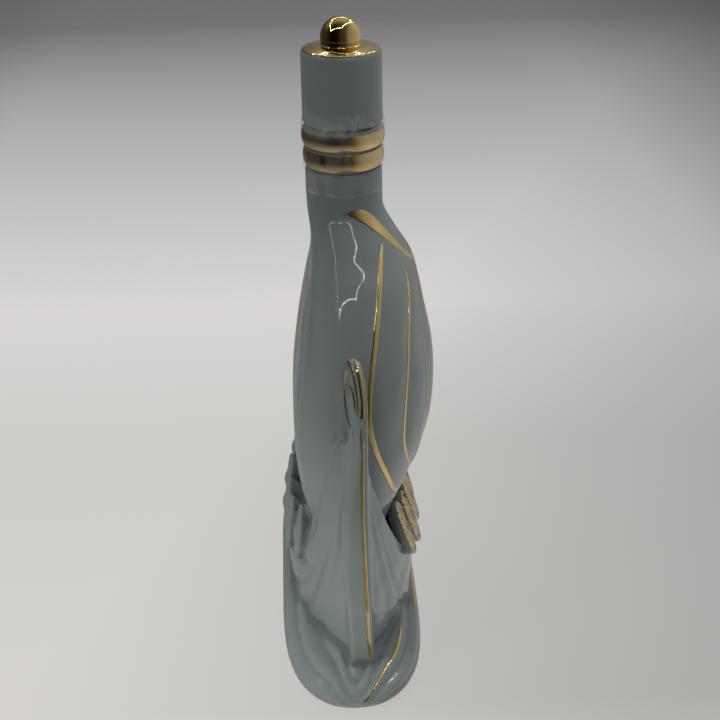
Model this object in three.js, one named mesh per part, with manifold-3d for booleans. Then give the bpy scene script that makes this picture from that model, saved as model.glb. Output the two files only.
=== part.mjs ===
// Glazed porcelain decanter in the form of a longship under sail, with a corked stopper.
// Millimetres, +Z up. The bow points to -Y and the gilded display side to +X.
// The foot stands on Z = 0 and the axis of the neck is the Z axis.

import * as THREE from 'three';
import { mergeVertices } from 'three/addons/utils/BufferGeometryUtils.js';
import Module from 'manifold-3d';

const wasm = await Module();
wasm.setup();

// Porcelain wall, running gaps and gold
const wall = 4.5;
const floorThickness = 8;
const fit = 0.3;
const goldFilm = 0.3;
const goldGap = 0.45;
const lineWidth = 1.6;
const edgeWidth = 2.2;
const stripTopShare = 0.8;

// Sail, hollow and blown out to lee, from its foot on the deck to the foot of the neck
const neckFootZ = 203;
const sailFootZ = 34;
const sailLee = 38.6;
const sailWeather = 26.7;
const sailHalfLength = 72;
const rowsCrowding = 1.15;

// Stem and stern posts, each ending in a flat scroll, taller than wide, just clear of the sail
const scrollRadius = 16;
const scrollTall = 1.2;
const scrollFlat = 0.85;
const scrollOverlap = 6;
const scrollThickness = 4;
const scrollBand = 5;
const scrollBandEnd = 2.6;
const scrollTurns = 1.3;
const scrollShrink = 0.62;
const scrollShrinkPower = 1.8;
const scrollMargin = 1;
const scrollTurnAside = 12;
const scrollCentreX = -0.5;
const scrollRise = 0.6485;
const scrollCentreZ = sailFootZ + (neckFootZ - sailFootZ) * scrollRise;
const postReach = sailHalfLength - scrollOverlap + 2 * scrollRadius;
const postProud = 2.5;
const postDepth = 12;
const postFootZ = 12;
const postBevel = 0.8;
const finThickness = 3;

// Planked hull, low amidships and swept up to both ends
const hullHalfBeam = 31;
const hullShift = -1;
const hullKeelZ = 6;
const bilgeShare = 0.95;
const keelFullness = 2.3;
const sheerFullness = 2.2;
const sheerMidZ = 36;
const sheerBelowScroll = 5.6;
const sheerEndZ = scrollCentreZ - sheerBelowScroll;
const sheerPower = 3.2;
const plankCount = 7;
const plankDepth = 1.5;
const plankSpread = 32;
const plankFan = 2.5;
const plankRound = 1.4;
const plankSunk = 0.5;
const plankFade = 6;
const rimWidth = 3;
const rimMostShare = 0.45;
const deckDrop = 8;
const deckShare = 0.95;
const cheekRise = 24;
const cheekStart = 0.62;
const cheekLength = 0.12;
const cheekFade = 0.6;
const cheekInnerShare = 0.45;
const cheekInnerRise = 1.25;
const cheekWallShare = 0.97;
const cheekWallRise = 0.8;
const endThickness = 1.5;
const finAboveSheer = 9;
const finFootZ = sheerMidZ + finAboveSheer;
const sailRootSunk = 2;
const sailRootZ = sheerMidZ - deckDrop - sailRootSunk;

// Wave base, a rounded oval with swirling ridges, wider than the hull and longer by a toe at each end
const baseToe = 8;
const baseHalfLength = postReach + baseToe;
const baseProud = 1.5;
const baseHalfWidth = hullHalfBeam + baseProud;
const baseShift = -2.6;
const baseHeight = 14;
const baseWidestZ = 5;
const baseWidest = 0.3;
const baseFootTuck = 2.4;
const baseCrown = 20;
const waveDepth = 1.2;
const waveSpacing = 0.36;
const waveCrest = 0.63;
const waveTurn = 0.16;
const waveSoft = 0.05;
const ovalAcross = 2.3;
const ovalAlong = 4.4;

// Round shields that lean in along both gunwales and lap over each other towards amidships
const shieldRadius = 13;
const shieldThickness = 4.4;
const shieldRim = 2;
const shieldRimRise = 0.8;
const shieldDome = 1.6;
const shieldBoss = 3;
const shieldCount = 5;
const shieldSpacing = 20;
const shieldLeanLee = 21;
const shieldLeanWeather = 8;
const shieldInsetLee = 1.4;
const shieldInsetWeather = 0.5;
const shieldBackTaper = 1;
const shieldAboveSheer = 9.5;

// Neck with two beads, and the bore that takes the cork
const neckRadius = 17;
const neckBlendBelow = 5;
const neckBlendAbove = 3;
const neckBlendLee = 0.6;
const neckBlendWeather = -0.4;
const neckBlendLength = 3;
const neckLap = 1;
const neckStraight = 20.3;
const beadGap = 0.1;
const lowerBeadProud = 0.6;
const lowerBeadRadius = neckRadius + lowerBeadProud;
const lowerBeadHalf = 4.4;
const lowerBeadZ = neckFootZ + neckStraight;
const upperBeadProud = 1.1;
const upperBeadRadius = neckRadius + upperBeadProud;
const upperBeadHalf = 4.6;
const upperBeadZ = lowerBeadZ + lowerBeadHalf + beadGap + upperBeadHalf;
const grooveDepth = 1.1;
const lipRise = 0.7;
const lipZ = upperBeadZ + upperBeadHalf + lipRise;
const boreRadius = 9.6;

// Inside of the flask
const hollowReach = 0.82;
const hollowLevel = 0.6;
const hollowCorner = 3;
const hollowMeet = 8;
const boreMeet = 12;
const fillBelowNeck = 24;
const fillZ = neckFootZ - fillBelowNeck;

// Stopper: cap, ball knob and cork
const capProud = 0.5;
const capRadius = neckRadius + capProud;
const capHeight = 31.8;
const capEdge = 1.2;
const capShoulder = 2.4;
const capDome = 1.2;
const knobRadius = 8.6;
const knobRise = 5;
const knobFillet = 1.8;
const socketDepth = 16;
const corkDepth = 27;
const corkTaper = 0.4;

// Clear shrink film over the joint of cap and neck
const filmThickness = 0.25;
const filmAboveFoot = 5;
const filmFootZ = neckFootZ + filmAboveFoot;
const filmAboveLip = 7;
const filmGrip = 3.5;
const filmBeadShare = 0.6;

// Facets of the curved surfaces
const facets = {
  sailRows: 18,
  sailSides: 34,
  baseFootRows: 2,
  baseCrownRows: 10,
  baseSides: 48,
  hullStations: 26,
  hullRows: 6,
  hollowRows: 8,
  hollowSides: 18,
  hollowStations: 8,
  postRows: 8,
  scrollSteps: 18,
  scrollLeafSteps: 14,
  beadSteps: 4,
  neckSides: 20,
  shieldSides: 12,
  yardSteps: 28,
  yardRows: 3,
  edgeSteps: 44,
  seamSteps: 14,
  postLineSteps: 18,
  gunwaleSteps: 5,
  waveLineSteps: 16,
  shoulderSteps: 2,
  knobSteps: 5,
};

// Loft stations of the sail as shares of its height, of its half-widths to lee and to weather
// and of its half-length
const sailShape = [
  { rise: 0, lee: 0.518, weather: 0.701, length: 0.806 },
  { rise: 0.142, lee: 0.518, weather: 0.857, length: 0.833 },
  { rise: 0.26, lee: 0.738, weather: 0.974, length: 0.889 },
  { rise: 0.373, lee: 0.93, weather: 1, length: 0.958 },
  { rise: 0.479, lee: 1, weather: 0.974, length: 1 },
  { rise: 0.598, lee: 0.99, weather: 0.869, length: 0.993 },
  { rise: 0.716, lee: 0.891, weather: 0.734, length: 0.917 },
  { rise: 0.817, lee: 0.788, weather: 0.621, length: 0.736 },
  { rise: 0.899, lee: 0.611, weather: 0.584, length: 0.486 },
];
const sailZ = (rise) => sailFootZ + (neckFootZ - sailFootZ) * rise;
const sailStations = [
  ...sailShape.map(({ rise, lee, weather, length }) => ({
    z: sailZ(rise),
    lee: lee * sailLee,
    weather: weather * sailWeather,
    length: length * sailHalfLength,
  })),
  {
    z: neckFootZ - neckBlendBelow,
    lee: neckRadius + neckBlendLee,
    weather: neckRadius + neckBlendWeather,
    length: neckRadius + neckBlendLength,
  },
  { z: neckFootZ + neckBlendAbove, lee: neckRadius, weather: neckRadius, length: neckRadius },
];

// Posts: weather and lee edge of the front face, its distance from amidships and the depth behind it
const postZ = (rise) => postFootZ + (scrollCentreZ - postFootZ) * rise;
const postStations = [
  { z: postFootZ, weather: -4.5, lee: 5.8, out: postReach - 8.5, depth: postDepth },
  { z: postZ(0.288), weather: -6, lee: 4.4, out: postReach - 2.2, depth: postDepth },
  { z: postZ(0.607), weather: -7.6, lee: 3.2, out: postReach, depth: postDepth },
  { z: postZ(0.897), weather: -0.5, lee: 3.3, out: postReach - 0.6, depth: postDepth - 3 },
  { z: scrollCentreZ, weather: -0.2, lee: 3.6, out: postReach - 1.4, depth: scrollThickness - 0.5 },
];

// Materials
const glaze = { color: 0x8d9a9c, roughness: 0.12, metalness: 0 };
const gold = { color: 0xb98a3a, roughness: 0.18, metalness: 1 };
const cork = { color: 0xb98e5f, roughness: 0.85, metalness: 0 };
const film = { color: 0xe8ecec, roughness: 0.1, metalness: 0, transparent: true, opacity: 0.25 };
const spirit = { color: 0x9a4d12, roughness: 0.05, metalness: 0, transparent: true, opacity: 0.8 };

const radians = THREE.MathUtils.degToRad;
const clamp01 = (value) => Math.min(1, Math.max(0, value));
const smooth = (value) => clamp01(value) ** 2 * (3 - 2 * clamp01(value));
const steps = (count) => Array.from({ length: count + 1 }, (unused, i) => i / count);

// Cubic through the stations of a loft, with slopes from the neighbouring stations
function faired(stations, key, z) {
  const last = stations.length - 1;
  const at = Math.min(stations[last].z, Math.max(stations[0].z, z));
  let i = 0;
  while (i < last - 1 && stations[i + 1].z < at) i += 1;
  const slope = (k) => {
    const low = stations[Math.max(0, k - 1)];
    const high = stations[Math.min(last, k + 1)];
    return (high[key] - low[key]) / (high.z - low.z);
  };
  const from = stations[i];
  const to = stations[i + 1];
  const span = to.z - from.z;
  const s = (at - from.z) / span;
  return (2 * s ** 3 - 3 * s ** 2 + 1) * from[key] + (s ** 3 - 2 * s ** 2 + s) * span * slope(i)
    + (-2 * s ** 3 + 3 * s ** 2) * to[key] + (s ** 3 - s ** 2) * span * slope(i + 1);
}

// Closed solid through rings of equally many points, with a fan over each end
function loft(rings) {
  const count = rings[0].length;
  const positions = rings.flat().flatMap((p) => [p.x, p.y, p.z]);
  const index = [];
  for (let r = 0; r + 1 < rings.length; r += 1) {
    for (let i = 0; i < count; i += 1) {
      const a = r * count + i;
      const b = r * count + ((i + 1) % count);
      index.push(a, b, b + count, a, b + count, a + count);
    }
  }
  for (const end of [0, rings.length - 1]) {
    const centre = rings[end].reduce((sum, p) => sum.add(p), new THREE.Vector3()).divideScalar(count);
    const hub = positions.length / 3;
    positions.push(centre.x, centre.y, centre.z);
    for (let i = 0; i < count; i += 1) {
      const a = end * count + i;
      const b = end * count + ((i + 1) % count);
      index.push(...(end === 0 ? [hub, b, a] : [hub, a, b]));
    }
  }
  const geometry = new THREE.BufferGeometry();
  geometry.setAttribute('position', new THREE.Float32BufferAttribute(positions, 3));
  geometry.setIndex(index);
  return facingOut(geometry);
}

// Turns a closed mesh round if its faces point inwards
function facingOut(geometry) {
  const p = geometry.attributes.position;
  const index = geometry.index.array;
  const corner = (k) => new THREE.Vector3().fromBufferAttribute(p, index[k]);
  let volume = 0;
  for (let k = 0; k < index.length; k += 3) volume += corner(k).dot(corner(k + 1).cross(corner(k + 2)));
  if (volume < 0) {
    for (let k = 0; k < index.length; k += 3) [index[k], index[k + 1]] = [index[k + 1], index[k]];
  }
  return geometry;
}

// Keeps the position only and joins the shared corners, so that the mesh is closed
function sewn(geometry) {
  const bare = geometry.clone();
  bare.deleteAttribute('normal');
  bare.deleteAttribute('uv');
  return mergeVertices(bare, 1e-4);
}

function solid(geometry) {
  const closed = sewn(geometry);
  const vertProperties = new Float32Array(closed.attributes.position.array);
  const triVerts = new Uint32Array(closed.index.array);
  return new wasm.Manifold(new wasm.Mesh({ numProp: 3, vertProperties, triVerts }));
}

function toGeometry(manifold) {
  const mesh = manifold.getMesh();
  const geometry = new THREE.BufferGeometry();
  geometry.setAttribute('position', new THREE.Float32BufferAttribute(mesh.vertProperties, 3));
  geometry.setIndex(new THREE.Uint32BufferAttribute(mesh.triVerts, 1));
  return geometry;
}

// Puts a closed mesh in its place and keeps its faces pointing out
const placed = (geometry, frame) => facingOut(geometry.applyMatrix4(frame));

// Body of revolution about the neck's axis, from [radius, height] pairs
function revolve(profile, sides = facets.neckSides) {
  const points = profile.map(([r, z]) => new THREE.Vector2(r, z));
  const geometry = sewn(new THREE.LatheGeometry(points, sides));
  geometry.rotateX(Math.PI / 2);
  return facingOut(geometry);
}

const decanter = new THREE.Group();

function add(name, geometry, finish) {
  const mesh = new THREE.Mesh(geometry, new THREE.MeshStandardMaterial(finish));
  mesh.name = name;
  decanter.add(mesh);
}

// Sail: ellipses that differ to lee and to weather. Angle 0 is the luff at the bow, 90 the lee belly
function sailPoint(angle, z, offset = 0) {
  const side = Math.sin(angle);
  const half = faired(sailStations, side > 0 ? 'lee' : 'weather', z) + offset;
  const length = faired(sailStations, 'length', z) + offset;
  return new THREE.Vector3(half * side, -length * Math.cos(angle), z);
}

// The rows of the loft draw closer towards the neck
function sailLoft(lowZ, highZ, rows, sides, offset) {
  return loft(steps(rows).map((s) => {
    const z = lowZ + (highZ - lowZ) * (1 - (1 - s) ** rowsCrowding);
    return steps(sides).slice(1).map((a) => sailPoint(2 * Math.PI * a, z, offset));
  }));
}

// Wave base: ovals from the foot, past the widest level, over a round edge to the level crown.
// A ridge's crest keeps its level along the sides and swings down to the foot at bow and stern
function crestLevel(fromBow) {
  const fromEnd = Math.min(fromBow, Math.PI - fromBow);
  return waveCrest * Math.tanh((Math.hypot(fromEnd, waveSoft) - waveSoft) / waveTurn);
}

function waveRidge(fromBow, s) {
  const level = (s - baseWidest) / (1 - baseWidest);
  const phase = (level - crestLevel(fromBow)) / waveSpacing;
  return waveDepth * smooth(s / baseWidest) * Math.cos(2 * Math.PI * phase);
}

function basePoint(angle, s) {
  const lengthwise = Math.sin(angle);
  const across = Math.sign(Math.cos(angle)) * (1 - Math.abs(lengthwise) ** ovalAlong) ** (1 / ovalAcross);
  const foot = 0.5 * Math.PI * Math.min(1, s / baseWidest);
  const crown = 0.5 * Math.PI * Math.max(0, (s - baseWidest) / (1 - baseWidest));
  const ridge = waveRidge(Math.acos(-lengthwise), s);
  const inwards = baseFootTuck * (1 - Math.sin(foot)) + baseCrown * (1 - Math.cos(crown))
    - ridge * Math.cos(crown);
  const z = baseWidestZ * Math.min(1, s / baseWidest)
    + (baseHeight - baseWidestZ + ridge) * Math.sin(crown);
  const x = (baseHalfWidth - inwards) * across;
  return new THREE.Vector3(baseShift + x, (baseHalfLength - inwards) * lengthwise, z);
}

function baseLoft(footRows, crownRows, sides) {
  const foot = steps(footRows).slice(0, -1).map((s) => baseWidest * s);
  const crown = steps(crownRows).map((s) => baseWidest + (1 - baseWidest) * s);
  return loft([...foot, ...crown].map((s) => (
    steps(sides).slice(1).map((a) => basePoint(2 * Math.PI * a, s))
  )));
}

// Hull: t runs from -1 at the bow to 1 at the stern
function sheerZ(t) {
  return sheerMidZ + (sheerEndZ - sheerMidZ) * Math.abs(t) ** sheerPower;
}

// Front face of a post and, just behind it, the end of the hull
const postOut = (z) => faired(postStations, 'out', z);
const hullEnd = (z) => postOut(z) - postProud;

// Half-breadth of the hull's skin at the share v of its height, without the planks
function hullBreadth(t, v) {
  const bilge = bilgeShare + (1 - bilgeShare) * v;
  const fullness = keelFullness + (sheerFullness - keelFullness) * v;
  return hullHalfBeam * bilge * (1 - Math.abs(t) ** fullness);
}

// Planks fan out from the head of each post and lie level amidships
function plankRelief(t, depthBelowSheer) {
  const spread = plankSpread * (1 - Math.abs(t) ** plankFan);
  const plank = plankCount * (2 / Math.PI) * Math.atan2(depthBelowSheer, spread);
  const round = Math.abs(Math.sin(Math.PI * plank)) ** plankRound;
  return plankDepth * (round - plankSunk) * (1 - Math.abs(t) ** plankFade);
}

function hullPoint(side, t, v) {
  const top = sheerZ(t);
  const z = hullKeelZ + (top - hullKeelZ) * v;
  const breadth = Math.max(endThickness, hullBreadth(t, v) + plankRelief(t, top - z));
  return new THREE.Vector3(hullShift + side * breadth, t * hullEnd(z), z);
}

// One cross-section: planks, gunwale rim and deck to lee, then the same to weather.
// Near the ends the planks to weather rise in a cheek that closes against the sail instead
function hullSection(t, rows) {
  const top = sheerZ(t);
  const y = t * hullEnd(top);
  const breadth = Math.max(endThickness, hullBreadth(t, 1));
  const rim = breadth - Math.min(rimWidth, rimMostShare * breadth);
  const deck = top - deckDrop * Math.min(1, breadth / (2 * deckDrop));
  const cheek = smooth((Math.abs(t) - cheekStart) / cheekLength);
  const rise = cheekRise * (1 - cheekFade * smooth((Math.abs(t) - cheekStart) / (1 - cheekStart)));
  const between = (plain, raised) => plain + (raised - plain) * cheek;
  const innerX = between(deckShare * rim, cheekInnerShare * breadth);
  const innerZ = between(deck, top + cheekInnerRise * rise);
  const wallX = between(rim, cheekWallShare * breadth);
  return [
    ...steps(rows).map((v) => hullPoint(1, t, v)),
    new THREE.Vector3(hullShift + rim, y, top),
    new THREE.Vector3(hullShift + deckShare * rim, y, deck),
    new THREE.Vector3(hullShift - innerX, y, innerZ),
    new THREE.Vector3(hullShift - wallX, y, between(top, top + cheekWallRise * rise)),
    ...steps(rows).map((v) => hullPoint(-1, t, 1 - v)),
  ];
}

function hullLoft(stations, rows) {
  return loft(steps(stations).map((s) => hullSection(-Math.cos(Math.PI * s), rows)));
}

// Shields: side is 1 to lee and -1 to weather. They follow the gunwale, and their faces look
// outwards and up
const shieldYs = steps(shieldCount - 1).map((s) => (shieldCount - 1) * shieldSpacing * (s - 0.5));

function shieldFrame(side, y) {
  const lean = radians(side > 0 ? shieldLeanLee : shieldLeanWeather);
  const face = new THREE.Vector3(side * Math.cos(lean), 0, Math.sin(lean));
  const level = new THREE.Vector3(0, -side, 0);
  const frame = new THREE.Matrix4().makeBasis(level, new THREE.Vector3().crossVectors(face, level), face);
  const t = y / hullEnd(sheerMidZ);
  const out = hullBreadth(t, 1) - (side > 0 ? shieldInsetLee : shieldInsetWeather);
  return frame.setPosition(hullShift + side * out, y, sheerZ(t) + shieldAboveSheer);
}

// Face of a shield from the boss in the middle out to the raised rim
function shieldFace(lift) {
  const inner = shieldRadius - shieldRim;
  return [
    [shieldBoss, shieldDome + lift], [inner, lift],
    [inner + shieldRim / 2, shieldRimRise + lift], [shieldRadius + lift, lift],
  ];
}

function shieldGeometry(side, y, grown) {
  const profile = [
    [0, -shieldThickness - grown], [shieldRadius - shieldBackTaper + grown, -shieldThickness - grown],
    ...shieldFace(grown).reverse(), [0, shieldDome + shieldRimRise + grown],
  ];
  return placed(revolve(profile, facets.shieldSides), shieldFrame(side, y));
}

// Posts: end is -1 at the bow and 1 at the stern
function postLoft(end, rows) {
  return loft(steps(rows).map((s) => {
    const z = postFootZ + (scrollCentreZ - postFootZ) * s;
    const left = faired(postStations, 'weather', z);
    const right = faired(postStations, 'lee', z);
    const front = postOut(z);
    const back = front - faired(postStations, 'depth', z);
    const outline = [
      [left, front - postBevel], [left + postBevel, front],
      [right - postBevel, front], [right, front - postBevel],
      [right, back], [left, back],
    ];
    return outline.map(([x, y]) => new THREE.Vector3(x, end * y, z));
  }));
}

// The scroll lies in an upright plane turned a little to weather of the keel line
const scrollCentreY = postOut(scrollCentreZ) - scrollRadius * scrollFlat;

function scrollFrame(end) {
  const aside = radians(scrollTurnAside);
  const inboard = new THREE.Vector3(-Math.sin(aside), -end * Math.cos(aside), 0);
  const up = new THREE.Vector3(0, 0, 1);
  const across = new THREE.Vector3().crossVectors(inboard, up);
  inboard.multiplyScalar(scrollFlat);
  up.multiplyScalar(scrollTall);
  const frame = new THREE.Matrix4().makeBasis(inboard, up, across);
  return frame.setPosition(scrollCentreX, end * scrollCentreY, scrollCentreZ);
}

// Spiral band: it leaves the post, goes over the top and curls inboard
function spiralShape(inset, turnSteps) {
  const edge = (s, share) => {
    const angle = Math.PI - 2 * Math.PI * scrollTurns * s;
    const outer = scrollRadius * (1 - scrollShrink * s ** scrollShrinkPower);
    const band = scrollBand + (scrollBandEnd - scrollBand) * s;
    const r = outer - inset - share * (band - 2 * inset);
    return new THREE.Vector2(r * Math.cos(angle), r * Math.sin(angle));
  };
  const outer = steps(turnSteps).map((s) => edge(s, 0));
  const inner = steps(turnSteps).map((s) => edge(1 - s, 1));
  return new THREE.Shape([...outer, ...inner]);
}

function scrollBandGeometry(end) {
  const band = new THREE.ExtrudeGeometry(spiralShape(0, facets.scrollSteps), {
    depth: scrollThickness,
    bevelEnabled: false,
  });
  band.translate(0, 0, -scrollThickness / 2);
  return placed(sewn(band), scrollFrame(end));
}

// Fin that closes the gap between the post, the scroll and the edge of the sail
function finGeometry(end) {
  const drop = (finFootZ - scrollCentreZ) / scrollTall;
  const front = scrollMargin - scrollRadius;
  const reach = scrollRadius + postDepth;
  const outline = [[front, 0], [front, drop], [reach, drop], [reach, 0]];
  const shape = new THREE.Shape(outline.map(([u, w]) => new THREE.Vector2(u, w)));
  const fin = new THREE.ExtrudeGeometry(shape, { depth: finThickness, bevelEnabled: false });
  fin.translate(0, 0, -finThickness / 2);
  return placed(sewn(fin), scrollFrame(end));
}

function scrollDiscGeometry(end) {
  const radius = scrollRadius - scrollMargin;
  const disc = new THREE.CylinderGeometry(radius, radius, scrollThickness / 2, facets.neckSides);
  disc.rotateX(Math.PI / 2);
  return placed(sewn(disc), scrollFrame(end));
}

// Neck, outside: beads are half rounds on the straight neck, from one angle to another
function bead(centreZ, radius, half, lift = 0, lowDegrees = -90, highDegrees = 90) {
  const foot = neckRadius - grooveDepth;
  return steps(facets.beadSteps).map((s) => {
    const turn = radians(lowDegrees + (highDegrees - lowDegrees) * s);
    return [foot + (radius + lift - foot) * Math.cos(turn), centreZ + (half + lift) * Math.sin(turn)];
  });
}

const neckProfile = [
  [0, neckFootZ - wall],
  [neckRadius - wall / 2, neckFootZ - wall],
  [neckRadius, neckFootZ],
  [neckRadius, lowerBeadZ - lowerBeadHalf - grooveDepth],
  ...bead(lowerBeadZ, lowerBeadRadius, lowerBeadHalf),
  ...bead(upperBeadZ, upperBeadRadius, upperBeadHalf),
  [neckRadius - 2 * grooveDepth, lipZ],
  [0, lipZ],
];

// Hollow of the flask, drawn in from the outside by the wall and an extra gap
const hullCeiling = sheerMidZ - deckDrop - wall;

function hullHollow(gap) {
  const low = floorThickness + gap;
  const high = hullCeiling - gap;
  return loft(steps(facets.hollowStations).map((s) => {
    const t = hollowReach * (2 * s - 1);
    const half = hullBreadth(t, hollowLevel) - wall - gap - plankDepth;
    const corner = half - hollowCorner;
    const y = t * hullEnd(hullKeelZ);
    const outline = [
      [half, low], [half, high - hollowCorner], [corner, high],
      [-corner, high], [-half, high - hollowCorner], [-half, low],
    ];
    return outline.map(([x, z]) => new THREE.Vector3(hullShift + x, y, z));
  }));
}

function hollow(gap, topZ) {
  const inset = wall + gap;
  const sailLow = hullCeiling - hollowMeet + gap;
  const sail = sailLoft(sailLow, neckFootZ - gap, facets.hollowRows, facets.hollowSides, -inset);
  const bore = boreRadius - gap;
  const boreFootZ = neckFootZ - boreMeet;
  const neck = revolve([[0, boreFootZ], [bore, boreFootZ], [bore, topZ], [0, topZ]]);
  return [hullHollow(gap), neck].reduce((sum, part) => sum.add(solid(part)), solid(sail));
}

// The sail's outside, grown by a gap where something is cut clear of it
const sailTopZ = neckFootZ + neckBlendAbove - neckLap;
const sailOutside = (gap) => sailLoft(sailRootZ, sailTopZ, facets.sailRows, facets.sailSides, gap);

function flask() {
  const pieces = [
    revolve(neckProfile),
    baseLoft(facets.baseFootRows, facets.baseCrownRows, facets.baseSides),
    hullLoft(facets.hullStations, facets.hullRows),
  ];
  for (const end of [-1, 1]) {
    pieces.push(postLoft(end, facets.postRows), finGeometry(end));
    pieces.push(scrollBandGeometry(end), scrollDiscGeometry(end));
  }
  for (const side of [-1, 1]) pieces.push(...shieldYs.map((y) => shieldGeometry(side, y, 0)));
  const outside = pieces.reduce((sum, piece) => sum.add(solid(piece)), solid(sailOutside(0)));
  return toGeometry(outside.subtract(hollow(0, lipZ + wall)));
}

add('flask', flask(), glaze);

// Spirit: the hollow less a gap, cut level at the fill height
function spiritFill() {
  const block = new THREE.BoxGeometry(4 * baseHalfWidth, 4 * baseHalfLength, 2 * fillZ);
  return toGeometry(hollow(fit, fillZ).intersect(solid(block)));
}

add('cognac_fill', spiritFill(), spirit);

// Gold strip along a path of points and normals, lifted off the glaze by the gap
function goldStrip(path, count, width) {
  const nudge = 1e-3;
  return loft(steps(count).map((s) => {
    const { point, normal, wide = 1 } = path(s);
    const ahead = path(Math.min(1, s + nudge)).point;
    const behind = path(Math.max(0, s - nudge)).point;
    const across = new THREE.Vector3().crossVectors(normal, ahead.clone().sub(behind)).normalize();
    const corner = (up, side) => point.clone().addScaledVector(normal, up)
      .addScaledVector(across, side * wide * width / 2);
    const top = goldGap + goldFilm;
    return [
      corner(goldGap, -1), corner(goldGap, 1),
      corner(top, stripTopShare), corner(top, -stripTopShare),
    ];
  }));
}

// Point and outward normal of a surface at a pair of parameters
function onSurface(surface, u, v, du = 1e-3, dv = 1e-3) {
  const alongU = surface(u + du, v).sub(surface(u - du, v));
  const alongV = surface(u, v + dv).sub(surface(u, v - dv));
  return { point: surface(u, v), normal: alongU.cross(alongV).normalize() };
}

const onSail = (degrees, z) => onSurface(sailPoint, radians(degrees), z);

// Yard: a leaf of gold that drapes from the neck's front over the lee shoulder and back up
const yardBelowNeck = 2;
const yardTopZ = neckFootZ - yardBelowNeck;
const yardDrop = 31;
const yardDroop = 2.3;
const yardWidth = 5.8;
const yardOverrun = 4;
const yardTipShare = 0.2;
const yardTipShift = 0.08;
const yardRound = 0.8;

function yardSection(s) {
  const degrees = (180 + 2 * yardOverrun) * s - yardOverrun;
  const fromNeck = clamp01(1 - Math.abs(degrees - 90) / 90);
  const swell = Math.sin(Math.PI * clamp01(yardTipShift + fromNeck));
  const leaf = yardTipShare + (1 - yardTipShare) * swell ** yardRound;
  const middle = yardTopZ - yardDrop * fromNeck ** yardDroop;
  const row = (lift) => steps(facets.yardRows).map((k) => {
    const { point, normal } = onSail(degrees, middle + (k - 0.5) * leaf * yardWidth);
    return point.addScaledVector(normal, lift);
  });
  return [...row(goldGap), ...row(goldGap + goldFilm).reverse()];
}

add('yard_gilding', loft(steps(facets.yardSteps).map(yardSection)), gold);

// Edge of the sail to lee: luff, foot and leech, as angle and share of the sail's height,
// from the yard to the middle of the foot
const luffAndFoot = [
  [44.5, 0.918], [34.2, 0.883], [23.7, 0.822], [14.7, 0.715], [9.1, 0.609],
  [9.8, 0.512], [19.8, 0.388], [38.4, 0.271], [63, 0.235], [90, 0.225],
];
const leech = luffAndFoot.slice(0, -1).reverse().map(([degrees, rise]) => [180 - degrees, rise]);
const edgeCurve = new THREE.SplineCurve(
  [...luffAndFoot, ...leech].map(([degrees, rise]) => new THREE.Vector2(degrees, sailZ(rise))),
);

function edgePath(s) {
  const at = edgeCurve.getPoint(s);
  return onSail(at.x, at.y);
}

add('sail_edge_gilding', goldStrip(edgePath, facets.edgeSteps, edgeWidth), gold);

// Seams between the cloths of the sail: they draw together towards the yard and the foot
const bellyRise = 0.479;
const gatherTop = 0.46;
const gatherTopReach = 0.343;
const gatherFoot = 0.12;
const gatherFootReach = 0.1;
const seams = [
  { name: 'fore', degrees: 34, top: 0.858, foot: 0.325 },
  { name: 'fore_middle', degrees: 60, top: 0.822, foot: 0.29 },
  { name: 'middle', degrees: 90, top: 0.781, foot: 0.27 },
  { name: 'aft_middle', degrees: 120, top: 0.822, foot: 0.29 },
  { name: 'aft', degrees: 146, top: 0.858, foot: 0.325 },
];

function seamGather(rise) {
  const above = clamp01((rise - bellyRise) / gatherTopReach);
  const below = (bellyRise - rise) / gatherFootReach;
  return rise > bellyRise ? gatherTop * above ** 2 : gatherFoot * below ** 2;
}

for (const seam of seams) {
  const seamPath = (s) => {
    const rise = seam.top + (seam.foot - seam.top) * s;
    return onSail(90 + (seam.degrees - 90) * (1 - seamGather(rise)), sailZ(rise));
  };
  add(`sail_seam_gilding_${seam.name}`, goldStrip(seamPath, facets.seamSteps, lineWidth), gold);
}

// Lines up the lee edge of each post and round the top of its scroll
const lineFootZ = baseHeight + 2;
const lineInset = 1.3;
const lineRimShare = 0.2;

function postLinePath(end) {
  return (s) => {
    if (s < 1 - lineRimShare) {
      const z = lineFootZ + (scrollCentreZ - lineFootZ) * (s / (1 - lineRimShare));
      const x = faired(postStations, 'lee', z) - lineInset;
      const slope = postOut(z + 0.5) - postOut(z - 0.5);
      return {
        point: new THREE.Vector3(x, end * postOut(z), z),
        normal: new THREE.Vector3(0, end, -slope).normalize(),
      };
    }
    const turn = 0.5 * Math.PI * (s - 1 + lineRimShare) / lineRimShare;
    const rim = new THREE.Vector3(-scrollRadius * Math.cos(turn), scrollRadius * Math.sin(turn), 0);
    const centre = new THREE.Vector3(0, 0, 0).applyMatrix4(scrollFrame(end));
    const point = rim.applyMatrix4(scrollFrame(end));
    const normal = point.clone().sub(centre).normalize();
    return { point, normal };
  };
}

for (const [name, end] of [['bow', -1], ['stern', 1]]) {
  add(`${name}_line_gilding`, goldStrip(postLinePath(end), facets.postLineSteps, lineWidth), gold);
  for (const [face, side] of [['weather', end], ['lee', -end]]) {
    const leaf = new THREE.ExtrudeGeometry(spiralShape(scrollMargin, facets.scrollLeafSteps), {
      depth: goldFilm,
      bevelEnabled: false,
    });
    leaf.translate(0, 0, side * (scrollThickness / 2 + fit + goldFilm / 2) - goldFilm / 2);
    add(`${name}_scroll_gilding_${face}`, placed(sewn(leaf), scrollFrame(end)), gold);
  }
}

// Ends of the gunwale rim to lee, before and behind the shields
const gunwaleClear = 2;
const gunwaleReach = 0.11;
const gunwaleTo = (shieldYs[shieldCount - 1] + shieldRadius + gunwaleClear) / hullEnd(sheerMidZ);
const gunwaleGold = 2.1;
const gunwaleNudge = 0.005;

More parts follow.
